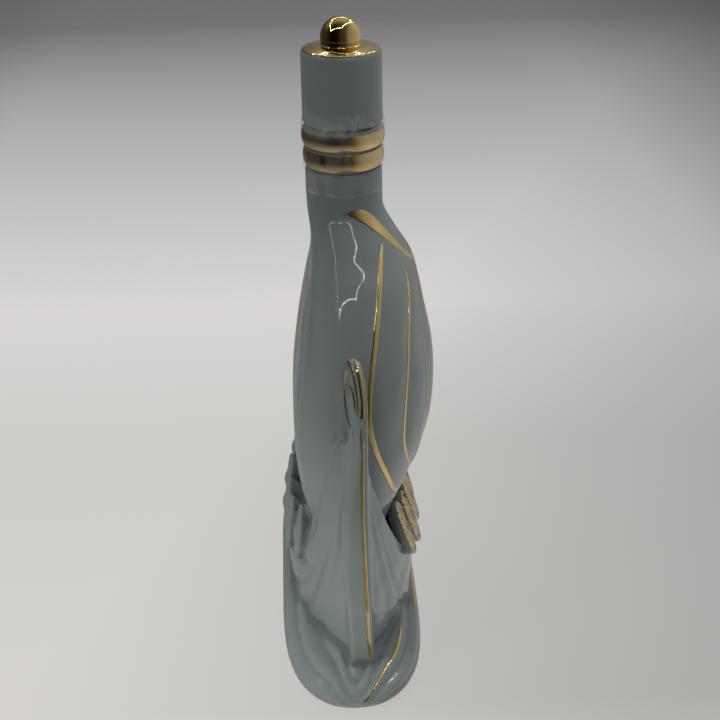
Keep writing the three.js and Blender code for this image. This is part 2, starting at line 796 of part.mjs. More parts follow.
function gunwalePath(end) {
  return (s) => {
    const t = end * (gunwaleTo + gunwaleReach * (1 - s));
    const top = sheerZ(t);
    const x = hullShift + hullBreadth(t, 1) - rimWidth / 2;
    const rise = sheerZ(t + gunwaleNudge) - sheerZ(t - gunwaleNudge);
    const run = 2 * gunwaleNudge * hullEnd(top);
    return {
      point: new THREE.Vector3(x, t * hullEnd(top), top),
      normal: new THREE.Vector3(0, -rise, run).normalize(),
    };
  };
}

add('gunwale_gilding', goldStrip(gunwalePath(-1), facets.gunwaleSteps, gunwaleGold), gold);
add('gunwale_gilding_stern', goldStrip(gunwalePath(1), facets.gunwaleSteps, gunwaleGold), gold);

// Gilded faces of the shields to lee, each cut clear of the sail and of the shield beside it
// that stands further out and laps over it. Slivers beyond the cuts stay bare
const lapsOver = (other, y) => Math.abs(other) < Math.abs(y) && Math.abs(other - y) < 2 * shieldRadius;

shieldYs.forEach((y, i) => {
  const outer = shieldFace(goldGap + goldFilm);
  const inner = shieldFace(goldGap).reverse();
  const ring = revolve([...outer, ...inner, outer[0]], facets.shieldSides);
  const leaf = solid(placed(ring, shieldFrame(1, y)));
  const lapping = shieldYs.filter((other) => lapsOver(other, y));
  const gilded = 2 * goldGap + goldFilm;
  const cutters = [sailOutside(goldGap), ...lapping.map((other) => shieldGeometry(1, other, gilded))];
  const clear = cutters.reduce((left, cutter) => left.subtract(solid(cutter)), leaf);
  const face = clear.decompose().reduce((most, piece) => (piece.volume() > most.volume() ? piece : most));
  add(`shield_gilding_${i + 1}`, toGeometry(face), gold);
});

// Gold along crests of the waves to lee: at the bow, amidships one ridge further out, and at the
// stern. Each runs between two angles from the bow
const waveLineHigh = 0.88;
const waveLineLow = 0.03;
const waveLineMiddle = 1.15;
const waveLines = [
  { from: waveLineHigh, to: waveLineLow, ridgesOut: 0 },
  { from: waveLineMiddle, to: Math.PI - waveLineMiddle, ridgesOut: 1 },
  { from: Math.PI - waveLineHigh, to: Math.PI - waveLineLow, ridgesOut: 0 },
];

waveLines.forEach(({ from, to, ridgesOut }, i) => {
  const wavePath = (share) => {
    const fromBow = from + (to - from) * share;
    const level = crestLevel(fromBow) - ridgesOut * waveSpacing;
    return onSurface(basePoint, fromBow - Math.PI / 2, baseWidest + (1 - baseWidest) * level);
  };
  add(`wave_line_gilding_${i + 1}`, goldStrip(wavePath, facets.waveLineSteps, lineWidth), gold);
});

// Gold on the neck beads, over an arc of each one's half round, in degrees from its middle
const lowerGoldArc = [-70, 56];
const upperGoldArc = [-56, 42];

function beadGold(centreZ, radius, half, arc) {
  const outer = bead(centreZ, radius, half, fit + goldFilm, ...arc);
  const inner = bead(centreZ, radius, half, fit, ...arc).reverse();
  return revolve([...outer, ...inner, outer[0]]);
}

add('lower_bead_gilding', beadGold(lowerBeadZ, lowerBeadRadius, lowerBeadHalf, lowerGoldArc), gold);
add('upper_bead_gilding', beadGold(upperBeadZ, upperBeadRadius, upperBeadHalf, upperGoldArc), gold);

// Stopper head: cap with a ball knob, and a socket for the cork
const capFootZ = lipZ + fit;
const capTopZ = capFootZ + capHeight;
const corkRadius = boreRadius - fit;
const knobZ = capTopZ + capDome + knobRise - knobFillet;

function capTop(lift) {
  const shoulder = steps(facets.shoulderSteps).map((s) => {
    const turn = 0.5 * Math.PI * s;
    return [
      capRadius - capShoulder + (capShoulder + lift) * Math.cos(turn),
      capTopZ - capShoulder + (capShoulder + lift) * Math.sin(turn),
    ];
  });
  const start = Math.asin((capTopZ + capDome + lift - knobZ) / (knobRadius + lift));
  const ball = steps(facets.knobSteps).map((s) => {
    const turn = start + (0.5 * Math.PI - start) * s;
    return [(knobRadius + lift) * Math.cos(turn), knobZ + (knobRadius + lift) * Math.sin(turn)];
  });
  ball[ball.length - 1][0] = 0;
  return [...shoulder, [ball[0][0] + knobFillet, capTopZ + capDome + lift], ...ball];
}

const socketRadius = corkRadius + fit;
const head = revolve([
  [0, capFootZ + socketDepth],
  [socketRadius, capFootZ + socketDepth],
  [socketRadius, capFootZ],
  [capRadius - capEdge, capFootZ],
  [capRadius, capFootZ + capEdge],
  ...capTop(0),
]);
add('stopper_head', head, glaze);

const goldOuter = capTop(fit + goldFilm);
const goldInner = capTop(fit).reverse();
add('stopper_gilding', revolve([...goldOuter, ...goldInner, goldOuter[0]]), gold);

const corkFootZ = lipZ - corkDepth;
const corkProfile = [
  [0, corkFootZ],
  [corkRadius - 2 * corkTaper, corkFootZ],
  [corkRadius - corkTaper, corkFootZ + 2 * corkTaper],
  [corkRadius, lipZ - corkDepth / 2],
  [corkRadius, capFootZ + socketDepth - fit],
  [0, capFootZ + socketDepth - fit],
];
add('stopper_cork', revolve(corkProfile), cork);

// Shrink film: a sleeve over the foot of the cap, both beads and the top of the neck
const overCap = capRadius + fit;
const overUpper = upperBeadRadius + 2 * fit + goldFilm;
const overLower = lowerBeadRadius + 2 * fit + goldFilm;
const overNeck = neckRadius + fit;
const sleeve = [
  [overCap, lipZ + filmAboveLip],
  [overCap, lipZ + filmGrip],
  [overUpper, upperBeadZ + filmBeadShare * upperBeadHalf],
  [overUpper, upperBeadZ - filmBeadShare * upperBeadHalf],
  [overLower, lowerBeadZ + filmBeadShare * lowerBeadHalf],
  [overLower, lowerBeadZ - lowerBeadHalf],
  [overNeck, lowerBeadZ - 2 * lowerBeadHalf],
  [overNeck, filmFootZ],
];
const sleeveOutside = sleeve.map(([r, z]) => [r + filmThickness, z]).reverse();
add('shrink_seal', revolve([...sleeve, ...sleeveOutside, sleeve[0]]), film);

export default decanter;
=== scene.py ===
import bpy
import numpy as np
from mathutils import Matrix, Vector


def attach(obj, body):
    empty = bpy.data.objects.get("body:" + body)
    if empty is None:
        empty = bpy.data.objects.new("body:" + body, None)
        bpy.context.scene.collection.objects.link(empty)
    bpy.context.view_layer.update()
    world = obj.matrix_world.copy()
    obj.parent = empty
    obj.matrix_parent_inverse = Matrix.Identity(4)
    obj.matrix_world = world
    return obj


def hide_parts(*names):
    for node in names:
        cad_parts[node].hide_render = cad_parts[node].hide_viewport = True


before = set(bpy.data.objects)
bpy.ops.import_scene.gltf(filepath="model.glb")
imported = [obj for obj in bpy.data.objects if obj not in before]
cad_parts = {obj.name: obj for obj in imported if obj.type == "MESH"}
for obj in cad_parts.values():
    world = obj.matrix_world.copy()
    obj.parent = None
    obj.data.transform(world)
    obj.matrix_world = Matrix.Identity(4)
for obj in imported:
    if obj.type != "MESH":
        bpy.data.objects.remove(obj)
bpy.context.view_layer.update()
mm = 0.001
poleRadius = 0.3  # where a turned profile stops short of its axis
shipEnds = {"bow": -1, "stern": 1}
print("frame loaded with", len(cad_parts), "nodes")


def placed(name, data):
    thing = bpy.data.objects.new(name, data)
    bpy.context.scene.collection.objects.link(thing)
    return thing


# Camera at the photograph's place, worked out for a square picture of 720 pixels
view = {
    "focalPixels": 1400.0,
    "imagePixels": 720.0,
    "sensor": 36.0,
    "distance": 592.0,
    "height": 414.0,
    "heading": 2.0,  # degrees, turned from the bow line
    "pitch": 26.3,
    "roll": 1.3,
    "aside": 12.0,  # pixels from the picture's middle to the aim
}


def addCamera():
    # right, up and ahead are turned by heading, pitch and roll, then aside about the up axis
    heading, pitch, roll = np.radians([view["heading"], view["pitch"], view["roll"]])
    right = np.array([np.cos(heading), -np.sin(heading), 0])
    ahead = np.array([np.sin(heading) * np.cos(pitch), np.cos(heading) * np.cos(pitch), -np.sin(pitch)])
    up = np.cross(right, ahead)
    right, up = np.cos(roll) * right - np.sin(roll) * up, np.sin(roll) * right + np.cos(roll) * up
    turn = np.arctan(view["aside"] / view["focalPixels"])
    right, ahead = np.cos(turn) * right - np.sin(turn) * ahead, np.cos(turn) * ahead + np.sin(turn) * right
    place = mm * np.array([
        -view["distance"] * np.sin(heading), -view["distance"] * np.cos(heading), view["height"]])
    camera = placed("camera", bpy.data.cameras.new("camera"))
    camera.data.sensor_width = view["sensor"]
    camera.data.lens = view["sensor"] * view["focalPixels"] / view["imagePixels"]
    camera.data.clip_start = 0.01
    pose = np.eye(4)
    pose[:3] = np.column_stack([right, up, -ahead, place])
    camera.matrix_world = Matrix(pose.tolist())
    bpy.context.scene.camera = camera


addCamera()
print("camera placed")


# Grids of points in millimetres become meshes in metres
def smooth(x):  # from 0 to 1, level at both ends
    x = np.clip(x, 0, 1)
    return x * x * (3 - 2 * x)


def faired(z, knots, values):  # cubic through the knots, with slopes from the neighbouring knots
    knots, values = np.asarray(knots, float), np.asarray(values, float)
    slopes = np.gradient(values, knots)
    slopes[1:-1] = (values[2:] - values[:-2]) / (knots[2:] - knots[:-2])
    z = np.clip(z, knots[0], knots[-1])
    i = np.clip(np.searchsorted(knots, z, side="right") - 1, 0, len(knots) - 2)
    span = knots[i + 1] - knots[i]
    s = (z - knots[i]) / span
    start = (2 * s**3 - 3 * s**2 + 1) * values[i] + (s**3 - 2 * s**2 + s) * span * slopes[i]
    end = (3 * s**2 - 2 * s**3) * values[i + 1] + (s**3 - s**2) * span * slopes[i + 1]
    return start + end


def unit(v):
    return v / np.maximum(np.linalg.norm(v, axis=-1, keepdims=True), 1e-12)


def blended(a, b, width):  # the lower field, rounded: min(a, b) - width h^2 / 4, h = 1 - |a - b| / width
    h = np.maximum(1 - np.abs(a - b) / width, 0)
    return np.minimum(a, b) - 0.25 * width * h * h


def cutBy(a, b, width):  # the higher field, rounded
    return -blended(-a, -b, width)


def ovalDistance(x, y, a, b, power=2.0):  # about (k - 1) / |grad k|, where k^n = |x / a|^n + |y / b|^n
    u, v = np.abs(x) / a, np.abs(y) / b
    k = np.maximum((u**power + v**power) ** (1 / power), 1e-6)
    slope = np.hypot(u ** (power - 1) / a, v ** (power - 1) / b) * k ** (1 - power)
    return (k - 1) / np.maximum(slope, 1e-6)


def eased(rows, reach):  # running mean along the first axis, with Gaussian weights
    weights = np.exp(-0.5 * (np.arange(-2 * reach, 2 * reach + 1) / reach) ** 2)
    first, last = (np.repeat(row, 2 * reach, 0) for row in (rows[:1], rows[-1:]))
    padded = np.concatenate([first, rows, last])
    return sum(w * padded[k:k + len(rows)] for k, w in enumerate(weights / weights.sum()))


def gridFaces(rows, cols, wrapRows=False, wrapCols=True):  # four corners of each cell of the grid
    r = np.arange(rows if wrapRows else rows - 1)[:, None]
    c = np.arange(cols if wrapCols else cols - 1)[None, :]
    nextR, nextC = (r + 1) % rows * cols, (c + 1) % cols
    return np.stack([r * cols + c, r * cols + nextC, nextR + nextC, nextR + c], -1).reshape(-1, 4)


def facingOut(points, faces):  # turns the faces round where the signed volume is below zero
    a, b, c, d = (points[faces[:, k]] for k in range(4))
    volume = np.sum(a * np.cross(b, c)) + np.sum(a * np.cross(c, d))
    return faces if volume > 0 else faces[:, ::-1]


def tube(rings):  # rings of points, closed round each ring, with a fan over each end
    rows, cols = rings.shape[:2]
    hubs = np.stack([rings[0].mean(0), rings[-1].mean(0)])
    points = np.concatenate([rings.reshape(-1, 3), hubs])
    ring = np.arange(cols)
    ahead = (ring + 1) % cols
    low = np.stack([np.full(cols, rows * cols), ahead, ring, ring], 1)
    top = (rows - 1) * cols
    high = np.stack([np.full(cols, rows * cols + 1), top + ring, top + ahead, top + ahead], 1)
    return points, facingOut(points, np.concatenate([gridFaces(rows, cols), low, high]))


def band(rings):  # closed round each ring and from the last ring to the first
    rows, cols = rings.shape[:2]
    points = rings.reshape(-1, 3)
    return points, facingOut(points, gridFaces(rows, cols, wrapRows=True))


def joined(shells):
    offsets = np.cumsum([0] + [len(points) for points, faces in shells[:-1]])
    points = np.concatenate([points for points, faces in shells])
    return points, np.concatenate([shell[1] + start for shell, start in zip(shells, offsets)])


def revolve(profile, sides):  # profile of radius and height, carried round the Z axis
    profile = np.asarray(profile, float)
    a = np.linspace(0, 2 * np.pi, sides, endpoint=False)
    x, y = (profile[:, :1] * f(a)[None] for f in (np.cos, np.sin))
    return np.stack([x, y, np.repeat(profile[:, 1:2], sides, 1)], -1)


def arc(centreR, centreZ, radiusR, radiusZ, low, high, count):  # part of an ellipse, in degrees
    a = np.radians(np.linspace(low, high, count))
    return np.stack([centreR + radiusR * np.cos(a), centreZ + radiusZ * np.sin(a)], 1)


def rounded(corners, radii, count=5):  # a polyline whose inner corners are cut by quadratic arcs
    corners = np.asarray(corners, float)
    pieces = [corners[:1]]
    s = np.linspace(0, 1, count)[:, None]
    for before, corner, after, r in zip(corners[:-2], corners[1:-1], corners[2:], radii):
        start, end = corner + r * unit(before - corner), corner + r * unit(after - corner)
        pieces.append((1 - s) ** 2 * start + 2 * s * (1 - s) * corner + s**2 * end)
    return np.concatenate(pieces + [corners[-1:]])


def makeMesh(name, shell):
    points, faces = shell
    mesh = bpy.data.meshes.new(name)
    corners = [f[:3] if f[2] == f[3] else f for f in faces.tolist()]
    mesh.from_pydata((points * mm).tolist(), [], corners)
    mesh.update()
    mesh.shade_smooth()
    return placed(name, mesh)


def applied(piece):  # leaves the mesh as its modifiers make it
    bpy.context.view_layer.update()
    graph = bpy.context.evaluated_depsgraph_get()
    made = bpy.data.meshes.new_from_object(piece.evaluated_get(graph))
    piece.modifiers.clear()
    old, piece.data = piece.data, made
    bpy.data.meshes.remove(old)
    piece.data.name = piece.name
    return piece


def meshPoints(mesh):
    flat = np.empty(3 * len(mesh.vertices), np.float32)
    mesh.vertices.foreach_get("co", flat)
    return flat.reshape(-1, 3).astype(float) / mm


def meshEdges(mesh):
    flat = np.empty(2 * len(mesh.edges), np.int32)
    mesh.edges.foreach_get("vertices", flat)
    return flat.reshape(-1, 2)


def neighbourMean(values, edges):  # mean of the values at the other ends of each point's edges
    both = np.concatenate([edges, edges[:, ::-1]])
    count = np.maximum(np.bincount(both[:, 0], minlength=len(values)), 1)
    sums = [np.bincount(both[:, 0], weights=v[both[:, 1]], minlength=len(v)) for v in values.T]
    return np.stack(sums, 1) / count[:, None]


def finishPiece(piece, material, body, slot, *nodes):
    piece.data.materials.clear()
    piece.data.materials.append(material)
    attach(piece, body)
    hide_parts(*nodes)
    return piece


# Sail: ellipses that differ to lee and to weather, drawn in to the round neck
sail = {
    "footZ": 34.0,
    "rootZ": 26.0,
    "neckFootZ": 203.0,
    "topZ": 217.8,
    "lee": 38.6,
    "weather": 26.7,
    "halfLength": 72.0,
    "rise": [0, 0.142, 0.26, 0.373, 0.479, 0.598, 0.716, 0.817, 0.899],
    "leeShare": [0.518, 0.518, 0.738, 0.93, 1, 0.99, 0.891, 0.788, 0.611],
    "weatherShare": [0.701, 0.857, 0.974, 1, 0.974, 0.869, 0.734, 0.621, 0.584],
    "lengthShare": [0.806, 0.833, 0.889, 0.958, 1, 0.993, 0.917, 0.736, 0.486],
    "neckZ": [198.0, 206.0],
    "neckLee": [17.6, 17.0],
    "neckWeather": [16.6, 17.0],
    "neckLength": [20.0, 17.0],
    "edgeRise": [0.225, 0.235, 0.271, 0.388, 0.512, 0.609, 0.715, 0.822, 0.883, 0.918],
    "edgeDegrees": [90, 63, 38.4, 19.8, 9.8, 9.1, 14.7, 23.7, 34.2, 44.5],
    "seams": {"fore": 34, "fore_middle": 60, "middle": 90, "aft_middle": 120, "aft": 146},
    "seamTop": {"fore": 0.858, "fore_middle": 0.822, "middle": 0.781, "aft_middle": 0.822, "aft": 0.858},
    "seamFoot": {"fore": 0.325, "fore_middle": 0.29, "middle": 0.27, "aft_middle": 0.29, "aft": 0.325},
    "bellyRise": 0.479,
    "gatherTop": 0.46,
    "gatherTopReach": 0.343,
    "gatherFoot": 0.12,
    "gatherFootReach": 0.1,
    "pillow": 0.9,  # how far each cloth swells between its seams
    "pillowPower": 2.2,
    "pillowFrom": 0.24,
    "pillowFromReach": 0.09,
    "pillowTo": 0.9,
    "pillowToReach": 0.1,
    "weatherFlat": 0.9,  # makes the section squarer to weather
    "flatReach": 50.0,  # below the neck, where it has its full flatness
    "round": 1.2,
}
sailSpan = sail["neckFootZ"] - sail["footZ"]
sailKnots = np.append(sail["footZ"] + sailSpan * np.array(sail["rise"]), sail["neckZ"])
sailLee = np.append(sail["lee"] * np.array(sail["leeShare"]), sail["neckLee"])
sailWeather = np.append(sail["weather"] * np.array(sail["weatherShare"]), sail["neckWeather"])
sailLength = np.append(sail["halfLength"] * np.array(sail["lengthShare"]), sail["neckLength"])


def sailZ(rise):
    return sail["footZ"] + sailSpan * np.asarray(rise, float)


def seamGather(rise):  # how far the seams draw together, above and below the belly
    above = np.clip((rise - sail["bellyRise"]) / sail["gatherTopReach"], 0, 1)
    below = np.clip((sail["bellyRise"] - rise) / sail["gatherFootReach"], 0, 2)
    return np.where(rise > sail["bellyRise"], sail["gatherTop"] * above**2, sail["gatherFoot"] * below**2)


def sailRelief(degrees, z):
    # each cloth swells as 1 - |2u - 1|^power, where u runs from its fore seam to its aft seam
    rise = (z - sail["footZ"]) / sailSpan
    spread = 1 - seamGather(rise)
    across = 90 + (degrees - 90) / spread
    luff = 90 + (faired(rise, sail["edgeRise"], sail["edgeDegrees"]) - 90) / spread
    seams = np.array(list(sail["seams"].values()), float)
    low, high = luff, 180 - luff
    for seam in seams:
        low = np.where((across >= seam) & (seam > low), seam, low)
    for seam in seams[::-1]:
        high = np.where((across < seam) & (seam < high), seam, high)
    u = np.clip((across - low) / np.maximum(high - low, 1e-6), 0, 1)
    fade = smooth((rise - sail["pillowFrom"]) / sail["pillowFromReach"])
    fade = fade * smooth((sail["pillowTo"] - rise) / sail["pillowToReach"])
    inside = (across > luff) & (across < 180 - luff)
    return np.where(inside, sail["pillow"] * (1 - np.abs(2 * u - 1) ** sail["pillowPower"]) * fade, 0)


def sailHalves(lee, z):
    return np.where(lee, faired(z, sailKnots, sailLee), faired(z, sailKnots, sailWeather))


def sailPoint(degrees, z, lift=0.0):  # x = half sin(a), y = -length cos(a); angle 0 is the luff at the bow
    degrees, z = np.broadcast_arrays(np.asarray(degrees, float), np.asarray(z, float))
    a = np.radians(degrees)
    swell = sailRelief(degrees, z) + lift
    half = sailHalves(np.sin(a) > 0, z) + swell
    length = faired(z, sailKnots, sailLength) + swell
    return np.stack([half * np.sin(a), -length * np.cos(a), z], -1)


def sailField(p):
    x, y, z = p.T
    half, length = sailHalves(x > 0, z), faired(z, sailKnots, sailLength)
    degrees = np.degrees(np.arctan2(x / half, -y / length)) % 360
    swell = sailRelief(degrees, z)
    flat = smooth((sail["neckZ"][0] - z) / sail["flatReach"])
    power = 2 + np.where(x < 0, sail["weatherFlat"], 0) * flat
    side = ovalDistance(x, y, half + swell, length + swell, power)
    return cutBy(cutBy(side, z - sail["topZ"], sail["round"]), sail["rootZ"] - z, sail["round"])


def sailShell(low, high, rows, sides, lift=0.0):
    degrees = np.linspace(0, 360, sides, endpoint=False)[None]
    return tube(sailPoint(degrees, np.linspace(low, high, rows)[:, None], lift))


# Posts at bow and stern: each has a flat front face with soft corners
scrollZ = float(sailZ(0.6485))
post = {
    "footZ": 12.0,
    "share": [0, 0.288, 0.607, 0.897, 1],
    "weather": [-4.5, -6, -7.6, -0.5, -0.2],
    "lee": [5.8, 4.4, 3.2, 3.3, 3.6],
    "out": [89.5, 95.8, 98, 97.4, 96.6],
    "depth": [12, 12, 12, 9, 3.5],
    "round": 2.4,
    "roundHigh": 7.0,  # to weather, where the post runs out into the cheek
    "highFrom": 60.0,
    "highReach": 25.0,
    "weatherReach": 3.0,
    "proud": 2.5,
}
postKnots = post["footZ"] + (scrollZ - post["footZ"]) * np.array(post["share"])


def postAt(key, z):
    return faired(z, postKnots, post[key])


def postField(p):  # alike at both ends
    x, y, z = p.T
    left, right, front, depth = (postAt(key, z) for key in ("weather", "lee", "out", "depth"))
    wide = np.abs(x - 0.5 * (left + right)) - 0.5 * (right - left)
    deep = np.abs(np.abs(y) - front + 0.5 * depth) - 0.5 * depth
    tall = np.maximum(z - scrollZ, post["footZ"] - z)
    high = smooth((z - post["highFrom"]) / post["highReach"])
    high = high * smooth((0.5 * (left + right) - x) / post["weatherReach"])
    corner = post["round"] + (post["roundHigh"] - post["round"]) * high
    return cutBy(cutBy(wide, deep, corner), tall, post["round"])


def postShell(end, rows=90):
    z = np.linspace(post["footZ"], scrollZ, rows)
    left, right, front, depth = (postAt(key, z) for key in ("weather", "lee", "out", "depth"))
    x = np.stack([left, right, right, left], 1)
    y = np.stack([front, front, front - depth, front - depth], 1)
    return tube(np.stack([x, end * y, np.repeat(z[:, None], 4, 1)], -1))


# Scrolls: a flat spiral, taller than wide, on a thin disc, with a fin down to the hull
scroll = {
    "radius": 16.0,
    "tall": 1.2,
    "flat": 0.85,
    "thickness": 4.0,
    "band": 5.0,
    "bandEnd": 2.6,
    "turns": 1.3,
    "shrink": 0.62,
    "shrinkPower": 1.8,
    "margin": 1.0,
    "discEdge": 0.5,
    "goldMargin": 0.12,  # share of the band's width that stays plain at each edge
    "turnAside": 12.0,
    "centreX": -0.5,
    "finThickness": 3.0,
    "finFootZ": 45.0,
    "finReach": 28.0,
    "finRound": 2.0,
}
scrollY = float(postAt("out", scrollZ)) - scroll["radius"] * scroll["flat"]
scrollAside = np.radians(scroll["turnAside"])


def onScroll(end, local):  # local u runs inboard, v up and w across the scroll
    inboard = np.array([-np.sin(scrollAside), -end * np.cos(scrollAside), 0])
    up = np.array([0, 0, 1.0])
    centre = np.array([scroll["centreX"], end * scrollY, scrollZ])
    return centre + local @ np.stack([scroll["flat"] * inboard, scroll["tall"] * up, np.cross(inboard, up)])


def spiral(s, share, inset=0.0):  # angle = 180 - 360 turns s, radius shrinks with s, share goes inwards
    angle = np.pi - 2 * np.pi * scroll["turns"] * s
    width = scroll["band"] + (scroll["bandEnd"] - scroll["band"]) * s
    outer = scroll["radius"] * (1 - scroll["shrink"] * s ** scroll["shrinkPower"])
    r = outer - inset - share * (width - 2 * inset)
    return r * np.cos(angle), r * np.sin(angle)


def scrollShells(end):  # the band's section is a superellipse of power 4
    s = np.linspace(0, 1, 220)[:, None]
    a = np.linspace(0, 2 * np.pi, 32, endpoint=False)[None]
    share, w = (np.sign(f(a)) * np.abs(f(a)) ** 0.5 for f in (np.cos, np.sin))
    u, v = spiral(s, 0.5 - 0.5 * share)
    spiralBand = tube(onScroll(end, np.stack([u, v, 0.5 * scroll["thickness"] * w * np.ones_like(s)], -1)))
    r, half = scroll["radius"] - scroll["margin"], scroll["thickness"] / 4
    edge = scroll["discEdge"]
    rim = [[r - edge, -half], [r, edge - half], [r, half - edge], [r - edge, half]]
    disc = revolve([[poleRadius, -half], *rim, [poleRadius, half]], 96)
    return [spiralBand, tube(onScroll(end, disc))]


def finField(p):  # an upright plate in the scroll's plane
    x, y, z = p.T
    out, aside = np.abs(y) - scrollY, x - scroll["centreX"]
    inboard = -aside * np.sin(scrollAside) - out * np.cos(scrollAside)
    across = aside * np.cos(scrollAside) - out * np.sin(scrollAside)
    flat, soft = scroll["flat"], scroll["finRound"]
    front, back = flat * (scroll["margin"] - scroll["radius"]), flat * scroll["finReach"]
    long = np.abs(inboard - 0.5 * (front + back)) - 0.5 * (back - front)
    tall = np.maximum(z - scrollZ, scroll["finFootZ"] - z)
    plate = cutBy(np.abs(across) - 0.5 * scroll["finThickness"], long, soft)
    return cutBy(plate, tall, soft)


def finShell(end):
    front, half = scroll["margin"] - scroll["radius"], scroll["finThickness"] / 2
    drop, reach = (scroll["finFootZ"] - scrollZ) / scroll["tall"], scroll["finReach"]
    outline = np.array([[front, 0], [front, drop], [reach, drop], [reach, 0]])
    return tube(onScroll(end, np.stack([np.column_stack([outline, np.full(4, w)]) for w in (-half, half)])))


# Hull: t runs from -1 at the bow to 1 at the stern, v from the keel to the sheer
hull = {
    "halfBeam": 31.0,
    "shift": -1.0,
    "keelZ": 6.0,
    "bilgeShare": 0.95,
    "keelFullness": 2.3,
    "sheerFullness": 2.2,
    "sheerMidZ": 36.0,
    "sheerEndZ": scrollZ - 5.6,
    "sheerPower": 3.2,
    "plankCount": 5,
    "plankDepth": 1.0,
    "plankSpread": 32.0,
    "plankFan": 2.5,
    "plankRound": 1.8,
    "plankSunk": 0.5,
    "plankFade": 6,
    "plankStart": 32.0,  # below the sheer, where the planks have their full depth
    "rimWidth": 3.0,
    "rimMostShare": 0.45,
    "deckDrop": 8.0,
    "deckShare": 0.95,
    "cheekRise": 24.0,
    "cheekStart": 0.62,
    "cheekLength": 0.12,
    "cheekFade": 0.6,
    "cheekInnerShare": 0.45,
    "cheekInnerRise": 1.8,
    "cheekWallShare": 0.97,
    "cheekWallRise": 0.4,
    "cheekRound": 14.0,
    "cheekEdge": 1.5,
    "bulwarkRise": 12.0,  # the weather roof between the cheeks, behind the shields
    "endThickness": 1.5,
    "endRound": 1.0,
    "round": 2.0,
}


def sheerZ(t):
    return hull["sheerMidZ"] + (hull["sheerEndZ"] - hull["sheerMidZ"]) * np.abs(t) ** hull["sheerPower"]


def hullEnd(z):
    return postAt("out", z) - post["proud"]


def hullBreadth(t, v):  # half-breadth = beam (bilge share) (1 - |t|^fullness)
    bilge = hull["bilgeShare"] + (1 - hull["bilgeShare"]) * v
    fullness = hull["keelFullness"] + (hull["sheerFullness"] - hull["keelFullness"]) * v
    return hull["halfBeam"] * bilge * (1 - np.abs(t) ** fullness)


def plankRelief(t, below):
    # planks fan out from the post's head: the count of planks times the angle below the sheer
    spread = hull["plankSpread"] * np.maximum(1 - np.abs(t) ** hull["plankFan"], 0)
    plank = hull["plankCount"] * (2 / np.pi) * np.arctan2(below, spread)
    swell = np.abs(np.sin(np.pi * plank)) ** hull["plankRound"] - hull["plankSunk"]
    fade = smooth(below / hull["plankStart"]) * np.maximum(1 - np.abs(t) ** hull["plankFade"], 0)
    return hull["plankDepth"] * swell * fade


def hullSide(side, t, v):
    top = sheerZ(t)
    z = hull["keelZ"] + (top - hull["keelZ"]) * v
    breadth = np.maximum(hull["endThickness"], hullBreadth(t, v) + plankRelief(t, top - z))
    return np.stack([hull["shift"] + side * breadth, t * hullEnd(z), z], -1)


def gunwale(t):  # sheer, half-breadth, inner edge of the rim, deck, and the rise of the weather roof
    top = sheerZ(t)
    breadth = np.maximum(hull["endThickness"], hullBreadth(t, 1.0))
    rim = breadth - np.minimum(hull["rimWidth"], hull["rimMostShare"] * breadth)
    deck = top - hull["deckDrop"] * np.minimum(1, breadth / (2 * hull["deckDrop"]))
    cheek = smooth((np.abs(t) - hull["cheekStart"]) / hull["cheekLength"])
    fade = smooth((np.abs(t) - hull["cheekStart"]) / (1 - hull["cheekStart"]))
    full = hull["cheekRise"] * (1 - hull["cheekFade"] * fade)
    rise = hull["bulwarkRise"] + (full - hull["bulwarkRise"]) * cheek
    return top, breadth, rim, deck, rise


def hullField(p):
    x, y, z = p.T
    end = hullEnd(z)
    t = np.clip(y / end, -1, 1)
    top, breadth, rim, deck, rise = gunwale(t)
    across = np.abs(x - hull["shift"])
    v = np.clip((z - hull["keelZ"]) / (top - hull["keelZ"]), 0, 1)
    side = np.maximum(hull["endThickness"], hullBreadth(t, v) + plankRelief(t, np.maximum(top - z, 0)))
    # to weather of the fin a roof rises from the wall to its inner edge
    finX = scroll["centreX"] + (np.abs(y) - scrollY) * np.tan(scrollAside)
    cheek = smooth((finX - x) / hull["cheekEdge"])
    inner, wall = hull["cheekInnerShare"], hull["cheekWallShare"]
    inwards = np.clip((wall - across / breadth) / (wall - inner), 0, 1)
    steep = hull["cheekInnerRise"] - hull["cheekWallRise"]
    roof = top + cheek * rise * (hull["cheekWallRise"] + steep * inwards)
    trough = np.maximum(across - rim, deck + (roof - deck) * cheek - z)
    corner = hull["round"] + (hull["cheekRound"] - hull["round"]) * cheek
    solid = cutBy(across - side, z - roof, corner)
    solid = cutBy(solid, np.maximum(np.abs(y) - end, hull["keelZ"] - z), hull["endRound"])
    return cutBy(solid, -trough, hull["round"])


def hullShell(stations=240, rows=90):
    t = -np.cos(np.pi * np.linspace(0, 1, stations))[:, None]
    v = np.linspace(0, 1, rows)[None]
    top, breadth, rim, deck, rise = gunwale(t)
    inner, wall = hull["cheekInnerShare"] * breadth, hull["cheekWallShare"] * breadth
    innerZ, wallZ = top + hull["cheekInnerRise"] * rise, top + hull["cheekWallRise"] * rise
    corners = [(rim, top), (hull["deckShare"] * rim, deck), (-inner, innerZ), (-wall, wallZ)]
    inside = [np.stack([hull["shift"] + x, t * hullEnd(top), z], -1) for x, z in corners]
    return tube(np.concatenate([hullSide(1, t, v), *inside, hullSide(-1, t, 1 - v)], 1))


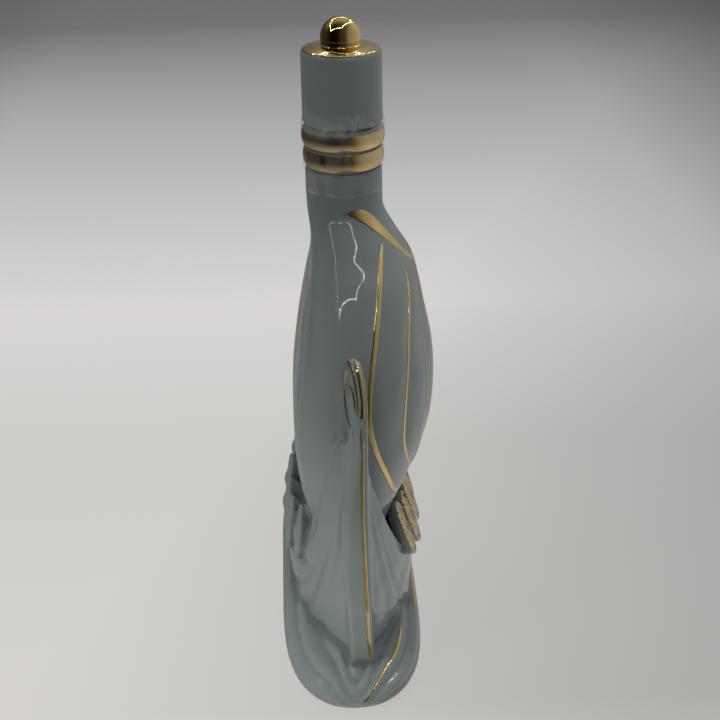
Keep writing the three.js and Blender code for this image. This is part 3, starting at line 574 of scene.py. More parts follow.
# Wave base: a long oval that rises over a round edge to a level crown, with swirling ridges
base = {
    "halfLength": 106.0,
    "halfWidth": 32.5,
    "shift": -2.6,
    "height": 14.0,
    "widestZ": 5.0,
    "footTuck": 2.4,
    "crown": 20.0,
    "waveDepth": 0.6,
    "waveSpacing": 0.36,
    "waveCrest": 0.63,
    "waveTurn": 0.16,
    "waveSoft": 0.05,
    "footWave": 0.43,
    "ovalAcross": 2.3,
    "ovalAlong": 4.4,
    "footRound": 1.6,
    "fieldReach": 15.0,
    "fieldSpare": 4.0,
    "lineFrom": 0.88,  # radians from the bow, where the wave lines start and stop
    "lineTo": 0.03,
    "sideLineFrom": 1.15,
}


def crestLevel(fromEnd):  # a crest keeps its level along the sides and swings down to the foot at the ends
    soft = base["waveSoft"]
    return base["waveCrest"] * np.tanh((np.hypot(fromEnd, soft) - soft) / base["waveTurn"])


def waveRidge(fromEnd, level, z):
    phase = (level - crestLevel(fromEnd)) / base["waveSpacing"]
    return base["waveDepth"] * smooth((z - 1) / (base["widestZ"] - 1)) * np.cos(2 * np.pi * phase)


def basePoint(fromBow, level):  # to lee, at the angle from the bow and the level over the round edge
    fromBow, level = np.broadcast_arrays(np.asarray(fromBow, float), np.asarray(level, float))
    along, turn = -np.cos(fromBow), 0.5 * np.pi * level
    ridge = waveRidge(np.minimum(fromBow, np.pi - fromBow), level, base["widestZ"])
    inset = base["crown"] * (1 - np.cos(turn)) - ridge * np.cos(turn)
    z = base["widestZ"] + (base["height"] - base["widestZ"] + ridge) * np.sin(turn)
    oval = np.maximum(1 - np.abs(along) ** base["ovalAlong"], 0) ** (1 / base["ovalAcross"])
    x = base["shift"] + (base["halfWidth"] - inset) * oval
    return np.stack([x, (base["halfLength"] - inset) * along, z], -1)


def baseField(p):
    x, y, z = np.abs(p[:, 0] - base["shift"]), np.abs(p[:, 1]), p[:, 2]
    a, b = base["ovalAcross"], base["ovalAlong"]
    inset = np.zeros(len(z))
    # Newton's steps to the oval through the point, (x / (w - i))^a + (y / (l - i))^b = 1
    for turn in range(10):
        wide, long = base["halfWidth"] - inset, base["halfLength"] - inset
        first, second = (x / wide) ** a, (y / long) ** b
        step = (first + second - 1) / np.maximum(a * first / wide + b * second / long, 1e-4)
        inset = np.clip(inset - step, -base["fieldReach"], base["crown"] + base["fieldSpare"])
    fromEnd = np.arccos(np.clip(y / (base["halfLength"] - inset), 0, 1))
    toRim, up, tall = base["crown"] - inset, z - base["widestZ"], base["height"] - base["widestZ"]
    level = np.arctan2(np.maximum(up, 0) / tall, np.maximum(toRim, 0) / base["crown"]) / (0.5 * np.pi)
    below = base["footWave"] * np.minimum(up, 0) / base["widestZ"]
    ridge = waveRidge(fromEnd, level + below, z)
    tuck = base["footTuck"] * (1 - np.sin(0.5 * np.pi * np.clip(z / base["widestZ"], 0, 1)))
    crown = ovalDistance(toRim, up, base["crown"] + ridge, tall + ridge)
    field = np.where(up < 0, tuck - inset - ridge, np.where(toRim < 0, up - tall - ridge, crown))
    return cutBy(field, -z, base["footRound"])


def baseShell(rows=40, sides=240):
    z = np.linspace(0, base["widestZ"], 6)[:-1]
    tuck = base["footTuck"] * (1 - np.sin(0.5 * np.pi * z / base["widestZ"]))
    turn = np.linspace(0, 0.5 * np.pi, rows)
    inset = np.concatenate([tuck, base["crown"] * (1 - np.cos(turn))])[:, None]
    z = np.concatenate([z, base["widestZ"] + (base["height"] - base["widestZ"]) * np.sin(turn)])[:, None]
    angle = np.linspace(0, 2 * np.pi, sides, endpoint=False)[None]
    narrow = (1 - np.abs(np.sin(angle)) ** base["ovalAlong"]) ** (1 / base["ovalAcross"])
    oval = np.sign(np.cos(angle)) * narrow
    x, y = base["shift"] + (base["halfWidth"] - inset) * oval, (base["halfLength"] - inset) * np.sin(angle)
    return tube(np.stack([x, y, z * np.ones_like(angle)], -1))


# Shields: round, leaning in along both gunwales, the middle ones lapped over those at the ends
shield = {
    "radius": 13.0,
    "thickness": 4.4,
    "rim": 2.0,
    "rimRise": 0.8,
    "dome": 1.6,
    "boss": 3.0,
    "ringRise": 0.35,
    "ringInset": 2.2,
    "ringWidth": 0.5,
    "goldLift": 0.02,
    "goldTop": 0.18,
    "goldFromBoss": 0.2,
    "goldFromRim": 0.1,
    "count": 5,
    "spacing": 20.0,
    "leanLee": 21.0,
    "leanWeather": 8.0,
    "insetLee": 1.4,
    "insetWeather": 0.5,
    "aboveSheer": 9.5,
    "rootDepth": 10.0,  # of the weather shields, which are cast with the body
    "rootTaper": 0.8,
    "soft": 1.6,
    "lap": 1.0,
}
shieldYs = shield["spacing"] * (np.arange(shield["count"]) - (shield["count"] - 1) / 2)


def shieldFrame(side, y):  # the axes level, up and face as rows, and the centre
    sideName = "Lee" if side > 0 else "Weather"
    lean = np.radians(shield["lean" + sideName])
    face = np.array([side * np.cos(lean), 0, np.sin(lean)])
    level = np.array([0, -side, 0.0])
    t = y / hullEnd(hull["sheerMidZ"])
    out = hullBreadth(t, 1.0) - shield["inset" + sideName]
    centre = np.array([hull["shift"] + side * out, y, sheerZ(t) + shield["aboveSheer"]])
    return np.stack([level, np.cross(face, level), face]), centre


def shieldHeight(r):  # boss in the middle, a shallow dome, then the raised rim
    inner = shield["radius"] - shield["rim"]
    rim = shield["rimRise"] * np.sin(np.pi * np.clip((r - inner) / shield["rim"], 0, 1)) ** 0.7
    ring = shield["ringRise"] * np.exp(-((r - inner + shield["ringInset"]) / shield["ringWidth"]) ** 2)
    boss = shield["rimRise"] * np.sqrt(np.clip(1 - (r / shield["boss"]) ** 2, 0, 1))
    return shield["dome"] * np.clip(1 - (r / inner) ** 2, 0, 1) + rim + ring + boss


def shieldShell(side, y):
    axes, centre = shieldFrame(side, y)
    r = np.linspace(shield["radius"], poleRadius, 60)
    face = np.stack([r, shieldHeight(r)], 1)
    back = [[poleRadius, -shield["thickness"]], [shield["radius"] - 1, -shield["thickness"]]]
    return tube(centre + revolve(np.concatenate([back, face]), 72) @ axes)


def shieldField(p, side):  # the row of one side, softly lapped
    field = np.full(len(p), 1e3)
    for y in shieldYs:
        axes, centre = shieldFrame(side, y)
        level, up, out = ((p - centre) @ axes.T).T
        r = np.hypot(level, up)
        rim = r - shield["radius"] + shield["rootTaper"] * np.maximum(-out, 0)
        disc = cutBy(rim, out - shieldHeight(r), shield["soft"])
        disc = cutBy(disc, -shield["rootDepth"] - out, shield["soft"])
        field = blended(field, disc, shield["lap"])
    return field


# Hollow of the flask, so that it is a vessel and not a block
hollow = {
    "wall": 4.5,
    "boreRadius": 9.6,
    "hullLow": 8.0,
    "hullHigh": 23.5,
    "reach": 0.82,
    "level": 0.6,
    "sailLow": 15.5,
    "boreFootZ": 191.0,
    "boreTopZ": 240.0,
    "chamfer": 3.0,
}


def hollowShells():
    t = hollow["reach"] * np.linspace(-1, 1, 24)[:, None]
    half = hullBreadth(t, hollow["level"]) - hollow["wall"] - hull["plankDepth"]
    low, high, cut = hollow["hullLow"], hollow["hullHigh"], hollow["chamfer"]
    x = np.concatenate([half, half, half - cut, cut - half, -half, -half], 1)
    z = np.array([[low, high - cut, high, high, high - cut, low]]) * np.ones_like(t)
    y = np.repeat(t * hullEnd(hull["keelZ"]), 6, 1)
    bilge = tube(np.stack([hull["shift"] + x, y, z], -1))
    bore = revolve([[hollow["boreRadius"], hollow[end]] for end in ("boreFootZ", "boreTopZ")], 72)
    inside = sailShell(hollow["sailLow"], sail["neckFootZ"], 40, 72, -hollow["wall"] - sail["pillow"])
    return [inside, bilge, tube(bore)]


# The flask's body: its forms are cast as one, with soft glazed corners
cast = {
    "voxel": 1.25,
    "softRounds": 4,
    "softShare": 0.5,
    "settleRounds": 6,
    "settleStep": 0.1,
    "leastSlope": 0.2,
    "evenShare": 0.5,
    "sailBlend": 3.0,
    "cheekBlend": 16.0,  # where the sail runs out into the weather cheek
    "cheekReachX": 6.0,
    "cheekFromY": 38.0,
    "cheekReachY": 16.0,
    "cheekFromZ": 40.0,
    "cheekReachZ": 12.0,
    "baseBlend": 1.2,
    "postBlend": 3.0,
    "finBlend": 4.0,
    "shieldBlend": 4.0,
}


def bodyField(p):
    x, y, z = p.T
    cheek = smooth(-x / cast["cheekReachX"])
    cheek = cheek * smooth((np.abs(y) - cast["cheekFromY"]) / cast["cheekReachY"])
    cheek = cheek * smooth((z - cast["cheekFromZ"]) / cast["cheekReachZ"])
    width = cast["sailBlend"] + (cast["cheekBlend"] - cast["sailBlend"]) * cheek
    field = blended(sailField(p), hullField(p), width)
    field = blended(field, shieldField(p, -1), cast["shieldBlend"])
    field = blended(field, finField(p), cast["finBlend"])
    field = blended(field, postField(p), cast["postBlend"])
    return blended(field, baseField(p), cast["baseBlend"])


def settled(points, edges):
    # pulls each point onto the field, p - f g / |g|^2, where g comes from central differences,
    # and evens the points out along the surface between the pulls
    step = cast["settleStep"]
    for turn in range(cast["settleRounds"]):
        slopes = [(bodyField(points + d) - bodyField(points - d)) / (2 * step) for d in step * np.eye(3)]
        slope = np.stack(slopes, 1)
        size = np.maximum(np.linalg.norm(slope, axis=1), cast["leastSlope"])[:, None]
        move = np.clip(bodyField(points)[:, None] / size, -cast["voxel"], cast["voxel"])
        points = points - move * slope / size
        if turn < cast["settleRounds"] - 1:
            even = neighbourMean(points, edges) - points
            normal = unit(slope)
            points = points + cast["evenShare"] * (even - np.sum(even * normal, 1, keepdims=True) * normal)
    return points


def carvedBy(piece, tool, operation):  # joins two pieces or cuts one by the other, and drops the tool
    carve = piece.modifiers.new("carve", "BOOLEAN")
    carve.operation = operation
    carve.solver = "MANIFOLD"
    carve.object = tool
    applied(piece)
    bpy.data.objects.remove(tool)
    return piece


def carved(piece, shell, operation):  # the same with a closed shell
    return carvedBy(piece, makeMesh("carving_tool", shell), operation)


def castBody():
    shells = [sailShell(sail["rootZ"], sail["topZ"], 220, 300), hullShell(), baseShell()]
    for end in (-1, 1):
        shells += [postShell(end), finShell(end)]
    shells += [shieldShell(-1, y) for y in shieldYs]
    piece = makeMesh("flask_body", joined(shells))
    remesh = piece.modifiers.new("cast", "REMESH")
    remesh.mode = "VOXEL"
    remesh.voxel_size = cast["voxel"] * mm
    remesh.adaptivity = 0
    applied(piece)
    points, edges = meshPoints(piece.data), meshEdges(piece.data)
    for turn in range(cast["softRounds"]):
        points += cast["softShare"] * (neighbourMean(points, edges) - points)
    points = settled(points, edges)
    points[:, 2] = np.maximum(points[:, 2], 0)
    piece.data.vertices.foreach_set("co", (points * mm).astype(np.float32).ravel())
    piece.data.update()
    return piece


body = castBody()
print("flask cast with", len(body.data.vertices), "points")
outsideOnly = body.data.copy()
for part in hollowShells():
    carved(body, part, "DIFFERENCE")
body.data.shade_smooth()
print("flask hollowed,", len(body.data.polygons), "faces")


def clearOfBody(piece):  # takes away what lies inside the body's outside
    carvedBy(piece, placed("solid_body", outsideOnly), "DIFFERENCE")
    piece.data.shade_smooth()
    return piece


def shieldRow(name, side):  # one side's shields as one piece, cut where they enter the hull and the sail
    row = makeMesh(name, shieldShell(side, shieldYs[0]))
    for y in shieldYs[1:]:
        carved(row, shieldShell(side, y), "UNION")
    return clearOfBody(row)


leeShields = shieldRow("flask_shields_lee", 1)
scrolls = [makeMesh("flask_scroll_" + name, joined(scrollShells(end))) for name, end in shipEnds.items()]
print("shields and scrolls set")


# Neck: two beads under a rounded lip, on the flat top of the body
neck = {
    "sides": 128,
    "footZ": 217.8,
    "grooveRadius": 15.9,
    "lowerZ": 223.3,
    "lowerRadius": 17.6,
    "lowerHalf": 4.4,
    "upperZ": 232.4,
    "upperRadius": 18.1,
    "upperHalf": 4.6,
    "lipRadius": 14.8,
    "lipZ": 237.7,
    "lipRound": 0.7,
    "lowerGold": (-70, 56),  # degrees from the bead's middle
    "upperGold": (-56, 42),
    "goldLift": 0.02,
    "goldThickness": 0.2,
}


def beadArc(which, lift, low, high, count):
    foot = neck["grooveRadius"]
    wide, tall = neck[which + "Radius"] + lift - foot, neck[which + "Half"] + lift
    return arc(foot, neck[which + "Z"], wide, tall, low, high, count)


def neckPiece():
    bore, lip, soft = hollow["boreRadius"], neck["lipZ"], neck["lipRound"]
    rim = rounded(
        [[neck["grooveRadius"] - 0.4, lip - 1], [neck["lipRadius"], lip], [bore, lip], [bore, lip - 3]],
        [soft, soft])
    foot = [[bore, neck["footZ"]], [neck["grooveRadius"] - 0.2, neck["footZ"]]]
    beads = [beadArc("lower", 0, -90, 90, 30), beadArc("upper", 0, -90, 90, 30)]
    return makeMesh("flask_neck", band(revolve(np.concatenate([foot, *beads, rim]), neck["sides"])))


def beadGold(which):
    low, high = neck[which + "Gold"]
    inner = beadArc(which, neck["goldLift"], low, high, 28)
    outer = beadArc(which, neck["goldLift"] + neck["goldThickness"], low + 3, high - 3, 28)
    profile = np.concatenate([outer, inner[::-1]])
    return makeMesh(which + "_bead_gold", band(revolve(profile, neck["sides"])))


flaskNeck = neckPiece()
beadGolds = {which: beadGold(which) for which in ("lower", "upper")}
print("neck turned")


# Stopper: a cap with a ball knob, gilded on top, and its cork
stopper = {
    "sides": 128,
    "footZ": 238.0,
    "radius": 17.5,
    "height": 31.8,
    "edge": 1.2,
    "shoulder": 2.4,
    "dome": 1.2,
    "knobRadius": 8.6,
    "knobRise": 5.0,
    "knobFillet": 1.8,
    "filletRise": 0.8,
    "filletPoints": [(0.35, 0.03), (0.08, 0.3)],  # out from the ball's foot and up from the dome
    "socketRadius": 9.6,
    "socketDepth": 16.0,
    "socketRounds": (0.4, 0.5),
    "goldLift": 0.02,
    "goldThickness": 0.22,
    "goldStart": 8,  # of the shoulder's points, where the gold begins
    "corkFootZ": 210.7,
    "corkRadius": 9.3,
    "corkTaper": 0.4,
    "corkTaperHeight": 13.0,
    "corkStraightFrom": 18.0,
    "corkRounds": [0.9, 4.0, 0.6],
    "corkClear": 0.3,
}
capTopZ = stopper["footZ"] + stopper["height"]
knobZ = capTopZ + stopper["dome"] + stopper["knobRise"] - stopper["knobFillet"]


def capTop(lift):  # shoulder, shallow dome, a small fillet and the ball
    r, shoulder = stopper["radius"], stopper["shoulder"]
    low = arc(r - shoulder, capTopZ - shoulder, shoulder + lift, shoulder + lift, 0, 80, 14)
    ball = stopper["knobRadius"] + lift
    domeZ = capTopZ + stopper["dome"] + lift
    start = np.degrees(np.arcsin((domeZ + stopper["filletRise"] - knobZ) / ball))
    knob = arc(0, knobZ, ball, ball, start, 88.5, 40)
    s = np.linspace(0, 1, 12)[1:-1, None]
    foot = np.array([knob[0, 0] + stopper["filletPoints"][0][0], domeZ])
    dome = low[-1] + (foot - low[-1]) * np.concatenate([s, np.sin(0.5 * np.pi * s)], 1)
    fillet = np.array([knob[0, 0], domeZ]) + stopper["filletPoints"]
    return np.concatenate([low, dome, fillet, knob])


def headPiece():
    z, r, edge = stopper["footZ"], stopper["radius"], stopper["edge"]
    socket, deep = stopper["socketRadius"], z + stopper["socketDepth"]
    corners = [[poleRadius, deep], [socket, deep], [socket, z], [r, z], [r, z + 4]]
    skirt = rounded(corners, [*stopper["socketRounds"], edge], 7)
    wall = np.stack([np.full(8, r), np.linspace(z + 5, capTopZ - stopper["shoulder"] - 0.5, 8)], 1)
    profile = np.concatenate([skirt, wall, capTop(0)])
    return makeMesh("stopper_cap", tube(revolve(profile, stopper["sides"])))


def topGold():
    lift, thick = stopper["goldLift"], stopper["goldThickness"]
    inner, outer = (capTop(h)[stopper["goldStart"]:] for h in (lift, lift + thick))
    profile = np.concatenate([inner[::-1], outer])
    return makeMesh("stopper_top_gold", tube(revolve(profile, stopper["sides"])))


def corkPiece():
    r, taper, low = stopper["corkRadius"], stopper["corkTaper"], stopper["corkFootZ"]
    high = stopper["footZ"] + stopper["socketDepth"] - stopper["corkClear"]
    corners = [[poleRadius, low], [r - 2 * taper, low], [r, low + stopper["corkTaperHeight"]]]
    profile = rounded(corners + [[r, high], [poleRadius, high]], stopper["corkRounds"], 8)
    shank = np.stack([np.full(20, r), np.linspace(low + stopper["corkStraightFrom"], high - 1, 20)], 1)
    cut = len(profile) - 9  # before the top's rounding
    profile = np.concatenate([profile[:cut], shank, profile[cut:]])
    return makeMesh("stopper_cork_plug", tube(revolve(profile, 96)))


head, headGold, cork = headPiece(), topGold(), corkPiece()
print("stopper turned")


# Clear film shrunk over the joint of cap and neck, with small wrinkles
film = {
    "sides": 180,
    "thickness": 0.12,
    "footZ": 208.0,
    "topZ": 244.7,
    "bends": [241.0, 235.2, 229.6, 226.0, 219.5, 214.5],  # where it leaves and meets cap, beads and neck
    "jointZ": 238.5,
    "jointReach": 3.0,
    "footReach": 2.5,
    "goldProud": 0.22,
    "gap": 0.1,
    "wrinkle": 0.1,
}


def filmPiece():
    upper, lower = (neck[which + "Radius"] + film["goldProud"] for which in ("upper", "lower"))
    radii = np.repeat([stopper["radius"], upper, lower, sail["neckLee"][1]], 2) + film["gap"]
    sleeve = np.column_stack([radii, [film["topZ"], *film["bends"], film["footZ"]]])
    s = np.linspace(0, len(sleeve) - 1, 120)
    line = np.stack([faired(s, np.arange(len(sleeve)), sleeve[:, k]) for k in (0, 1)], 1)
    rings = revolve(np.concatenate([line, (line + [film["thickness"], 0])[::-1]]), film["sides"])
    a = np.arctan2(rings[..., 1], rings[..., 0])
    z = rings[..., 2]
    # wrinkles: crossed waves that are strongest at the joint and at the foot
    waves = np.sin(23 * a + 0.9 * z) * np.sin(7 * a - 1.3 * z + 1) + 0.6 * np.sin(41 * a - 2.1 * z)
    strong = np.exp(-(((z - film["jointZ"]) / film["jointReach"]) ** 2)) + 0.15
    strong += 0.8 * np.exp(-(((z - film["footZ"]) / film["footReach"]) ** 2))
    swell = 1 + film["wrinkle"] * np.maximum(waves, -0.2) * strong / np.hypot(rings[..., 0], rings[..., 1])
    rings[..., 0] *= swell
    rings[..., 1] *= swell
    rings[..., 2] += 0.5 * np.sin(5 * a) * smooth((film["footZ"] + 4 - z) / 4)
    return makeMesh("clear_film", band(rings))


seal = filmPiece()
print("film shrunk on")


# Gold lines: a grid laid along a path, wrapped onto the glaze and given a low round back
gilding = {
    "lineWidth": 1.7,
    "edgeWidth": 2.3,
    "back": 0.26,  # height of the gold at the middle of the line
    "edge": 0.1,
    "sunk": 0.05,
    "across": 7,
    "taper": 0.05,
    "tip": 0.2,
    "lift": 0.3,  # off the surface before the gold is wrapped onto it
    "ease": 3,
    "gunwaleFrom": 0.71,
    "gunwaleTo": 0.6,
    "gunwaleWidth": 2.1,
}


def wrapped(grid):  # the nearest places on the body's glaze
    rows, cols = grid.shape[:2]
    sheet = makeMesh("gold_sheet", (grid.reshape(-1, 3), gridFaces(rows, cols, False, False)))
    wrap = sheet.modifiers.new("laid", "SHRINKWRAP")
    wrap.target = body
    wrap.wrap_method = "NEAREST_SURFACEPOINT"
    applied(sheet)
    laid = meshPoints(sheet.data).reshape(rows, cols, 3)
    bpy.data.objects.remove(sheet)
    return laid


def goldLaid(name, laid, normals):
    # rows of points across the line; outer = point + normal (edge + (back - edge) (1 - u^4))
    u = np.linspace(-1, 1, laid.shape[1])[None, :, None]
    outer = laid + normals * (gilding["edge"] + (gilding["back"] - gilding["edge"]) * (1 - u**4))
    inner = laid - gilding["sunk"] * normals
    return makeMesh(name, tube(np.concatenate([outer, inner[:, ::-1]], 1)))


def goldLine(name, points, normals, width, free=0.0):
    # a path with its normals, tapered at its ends; free runs from 0 on the body to 1 off it
    across = unit(np.cross(normals, np.gradient(points, axis=0)))
    s = np.linspace(0, 1, len(points))
    tip, full = gilding["tip"], np.sqrt(smooth(np.minimum(s, 1 - s) / gilding["taper"]))
    half = 0.5 * width * (tip + (1 - tip) * full)
    u = np.linspace(-1, 1, gilding["across"])
    grid = points[:, None] + across[:, None] * u[None, :, None] * half[:, None, None]
    laid = wrapped(grid + gilding["lift"] * normals[:, None])
    laid += np.reshape(free, (-1, 1, 1)) * (grid - laid)
    return goldLaid(name, eased(laid, gilding["ease"]), normals[:, None])


def slopeNormals(surface, u, v, du, dv):  # cross product of the surface's two slopes
    alongU = surface(u + du, v) - surface(u - du, v)
    alongV = surface(u, v + dv) - surface(u, v - dv)
    return unit(np.cross(alongU, alongV))


def sailLine(name, degrees, rise, width):
    z = sailZ(rise)
    normals = slopeNormals(sailPoint, degrees, z, 0.2, 0.2)
    return goldLine(name, sailPoint(degrees, z), normals, width)


def edgeLine():
    degrees = np.array(sail["edgeDegrees"][::-1] + [180 - d for d in sail["edgeDegrees"][1:]], float)
    rise = np.array(sail["edgeRise"][::-1] + sail["edgeRise"][1:])
    knots = np.arange(len(degrees))
    s = np.linspace(0, len(degrees) - 1, 360)
    degrees, rise = (faired(s, knots, values) for values in (degrees, rise))
    return sailLine("sail_edge_gold", degrees, rise, gilding["edgeWidth"])


def seamLine(name):
    rise = np.linspace(sail["seamTop"][name], sail["seamFoot"][name], 180)
    degrees = 90 + (sail["seams"][name] - 90) * (1 - seamGather(rise))
    return sailLine("sail_seam_gold_" + name, degrees, rise, gilding["lineWidth"])


yard = {
    "topZ": 201.0,
    "drop": 31.0,
    "droop": 2.3,
    "width": 6.6,
    "fullness": 0.65,
    "overrun": 4.0,
    "tip": 0.04,
    "shift": -0.02,
}


def yardLeaf():
    # drapes from the neck's front over the lee shoulder: z = top - drop (1 - |a - 90| / 90)^droop
    degrees = np.linspace(-yard["overrun"], 180 + yard["overrun"], 200)[:, None]
    fromNeck = np.clip(1 - np.abs(degrees - 90) / 90, 0, 1)
    swell = np.sin(np.pi * np.clip(yard["shift"] + fromNeck, 0, 1))
    leaf = yard["width"] * (yard["tip"] + (1 - yard["tip"]) * swell ** yard["fullness"])
    z = yard["topZ"] - yard["drop"] * fromNeck ** yard["droop"] + leaf * np.linspace(-0.5, 0.5, 11)[None]
    normals = slopeNormals(sailPoint, degrees, z, 0.2, 0.2)
    return goldLaid("yard_gold", wrapped(sailPoint(degrees, z) + gilding["lift"] * normals), normals)


postLine = {
    "footZ": 16.0,
    "inset": 1.8,
    "freeFrom": 70,  # points below the scroll where the line begins to leave the body
    "freeOver": 50,
    "ease": 5,
}


def stemLine(name, end):  # up the lee edge of the post's front, then a quarter turn over the scroll
    z = np.linspace(postLine["footZ"], scrollZ, 200)
    rise = np.column_stack([postAt("lee", z) - postLine["inset"], end * postAt("out", z), z])
    lean = np.gradient(postAt("out", z), z)
    front = unit(np.column_stack([0 * z, end + 0 * z, -lean]))
    turn = np.radians(np.linspace(0, 90, 50))[1:]
    over = onScroll(end, scroll["radius"] * np.column_stack([-np.cos(turn), np.sin(turn), 0 * turn]))
    outwards = unit(over - onScroll(end, np.zeros((1, 3))))
    points, normals = np.concatenate([rise, over]), np.concatenate([front, outwards])
    free = smooth((np.arange(len(points)) - len(z) + postLine["freeFrom"]) / postLine["freeOver"])
    return goldLine(name, eased(points, postLine["ease"]), normals, gilding["lineWidth"], free)


def scrollLeaf(name, end, side):
    s = np.linspace(0, 1, 200)[:, None]
    share = np.linspace(scroll["goldMargin"], 1 - scroll["goldMargin"], 11)[None]
    u, v = spiral(s, share)
    flat = side * 0.5 * scroll["thickness"] * (1 - (2 * share - 1) ** 4) ** 0.25 * np.ones_like(u)
    grid = onScroll(end, np.stack([u, v, flat], -1))
    outwards = onScroll(end, np.array([[0, 0, float(side)]])) - onScroll(end, np.zeros((1, 3)))
    return goldLaid(name, grid, np.broadcast_to(outwards, (200, 1, 3)))


def gunwaleLine(name, end):
    t = end * np.linspace(gilding["gunwaleFrom"], gilding["gunwaleTo"], 60)
    top = sheerZ(t)
    x = hull["shift"] + hullBreadth(t, 1.0) - hull["rimWidth"] / 2
    points = np.column_stack([x, t * hullEnd(top), top])
    along = np.gradient(points, axis=0)
    normals = unit(np.cross(np.cross(along, [0, 0, 1.0]), along))
    return goldLine(name, points, normals, gilding["gunwaleWidth"])


def waveLine(name, start, end, ridgesOut):  # along a crest, between two angles from the bow
    fromBow = np.linspace(start, end, 200)
    level = crestLevel(np.minimum(fromBow, np.pi - fromBow)) - ridgesOut * base["waveSpacing"]
    normals = slopeNormals(basePoint, fromBow, level, 1e-3, 1e-3)
    return goldLine(name, basePoint(fromBow, level), normals, gilding["lineWidth"])


def shieldGold(k):  # a thin dished ring on the shield's face, cut clear of the shield that laps over it
    axes, centre = shieldFrame(1, shieldYs[k])
    r = np.linspace(shield["boss"] + shield["goldFromBoss"], shield["radius"] - shield["goldFromRim"], 60)
    outer = np.stack([r, shieldHeight(r) + shield["goldTop"]], 1)
    inner = np.stack([r, shieldHeight(r) + shield["goldLift"]], 1)[::-1]
    ring = band(centre + revolve(np.concatenate([outer, inner]), 96) @ axes)
    piece = makeMesh(f"shield_gold_{k + 1}", ring)
    for y in shieldYs:
        if abs(y) < abs(shieldYs[k]) and abs(y - shieldYs[k]) < 2 * shield["radius"]:
            carved(piece, shieldShell(1, y), "DIFFERENCE")
    return clearOfBody(piece)


golds = {"yard_gilding": yardLeaf(), "sail_edge_gilding": edgeLine()}
for seamName in sail["seams"]:
    golds["sail_seam_gilding_" + seamName] = seamLine(seamName)
for endName, end in shipEnds.items():
    golds[endName + "_line_gilding"] = stemLine(endName + "_line_gold", end)
    for sideName, side in (("weather", end), ("lee", -end)):
        leafName = f"{endName}_scroll_gold_{sideName}"
        golds[f"{endName}_scroll_gilding_{sideName}"] = scrollLeaf(leafName, end, side)
golds["gunwale_gilding"] = gunwaleLine("gunwale_gold_bow", -1)
golds["gunwale_gilding_stern"] = gunwaleLine("gunwale_gold_stern", 1)
near, far, abeam = base["lineFrom"], base["lineTo"], base["sideLineFrom"]
waveRuns = [(near, far, 0), (abeam, np.pi - abeam, 1), (np.pi - near, np.pi - far, 0)]
for k, (start, stop, ridgesOut) in enumerate(waveRuns, 1):
    golds[f"wave_line_gilding_{k}"] = waveLine(f"wave_gold_{k}", start, stop, ridgesOut)
for k in range(shield["count"]):
    golds[f"shield_gilding_{k + 1}"] = shieldGold(k)
golds["lower_bead_gilding"] = beadGolds["lower"]
golds["upper_bead_gilding"] = beadGolds["upper"]
print(len(golds), "gold pieces laid")


# Materials: small node trees on Object coordinates
def startMaterial(name, **sockets):
    material = bpy.data.materials.new(name)
    material.use_nodes = True
    shader = material.node_tree.nodes["Principled BSDF"]
    for socket, value in sockets.items():
        shader.inputs[socket.replace("_", " ")].default_value = value
    return material, material.node_tree, shader


def noise(tree, scale, detail=3.0, rough=0.5, stretch=(1, 1, 1)):
    coords = tree.nodes.new("ShaderNodeTexCoord")
    mapping = tree.nodes.new("ShaderNodeMapping")
    mapping.inputs["Scale"].default_value = stretch
    texture = tree.nodes.new("ShaderNodeTexNoise")
    texture.inputs["Scale"].default_value = scale
    texture.inputs["Detail"].default_value = detail
    texture.inputs["Roughness"].default_value = rough
    tree.links.new(coords.outputs["Object"], mapping.inputs["Vector"])
    tree.links.new(mapping.outputs["Vector"], texture.inputs["Vector"])
    return texture.outputs["Fac"]


def ramp(tree, value, stops):  # stops of place and colour
    node = tree.nodes.new("ShaderNodeValToRGB")
    elements = node.color_ramp.elements
    while len(elements) < len(stops):
        elements.new(0.5)
    for element, (place, colour) in zip(elements, stops):
        element.position = place
        element.color = (*colour, 1)
    tree.links.new(value, node.inputs["Fac"])
    return node.outputs["Color"]


def grey(level):
    return (level, level, level)


def remap(tree, value, low, high):
    node = tree.nodes.new("ShaderNodeMapRange")
    node.inputs["To Min"].default_value = low
    node.inputs["To Max"].default_value = high
    tree.links.new(value, node.inputs["Value"])
    return node.outputs["Result"]


def rangeOf(tree, value, low, high):  # 0 at low, 1 at high
    node = tree.nodes.new("ShaderNodeMapRange")
    node.inputs["From Min"].default_value = low
    node.inputs["From Max"].default_value = high
    tree.links.new(value, node.inputs["Value"])
    return node.outputs["Result"]


def combined(tree, kind, *colours):  # all of them added or multiplied
    total = colours[0]
    for colour in colours[1:]:
        node = tree.nodes.new("ShaderNodeMix")
        node.data_type = "RGBA"
        node.blend_type = kind
        node.inputs["Factor"].default_value = 1.0
        tree.links.new(total, node.inputs["A"])
        tree.links.new(colour, node.inputs["B"])
        total = node.outputs["Result"]
    return total


def axesOf(tree, space):  # X, Y and Z of a space of coordinates
    coords = tree.nodes.new("ShaderNodeTexCoord")
    parts = tree.nodes.new("ShaderNodeSeparateXYZ")
    tree.links.new(coords.outputs[space], parts.inputs["Vector"])
    return [parts.outputs[axis] for axis in "XYZ"]


def bump(tree, shader, value, strength, distance):
    node = tree.nodes.new("ShaderNodeBump")
    node.inputs["Strength"].default_value = strength
    node.inputs["Distance"].default_value = distance
    tree.links.new(value, node.inputs["Height"])
    tree.links.new(node.outputs["Normal"], shader.inputs["Normal"])


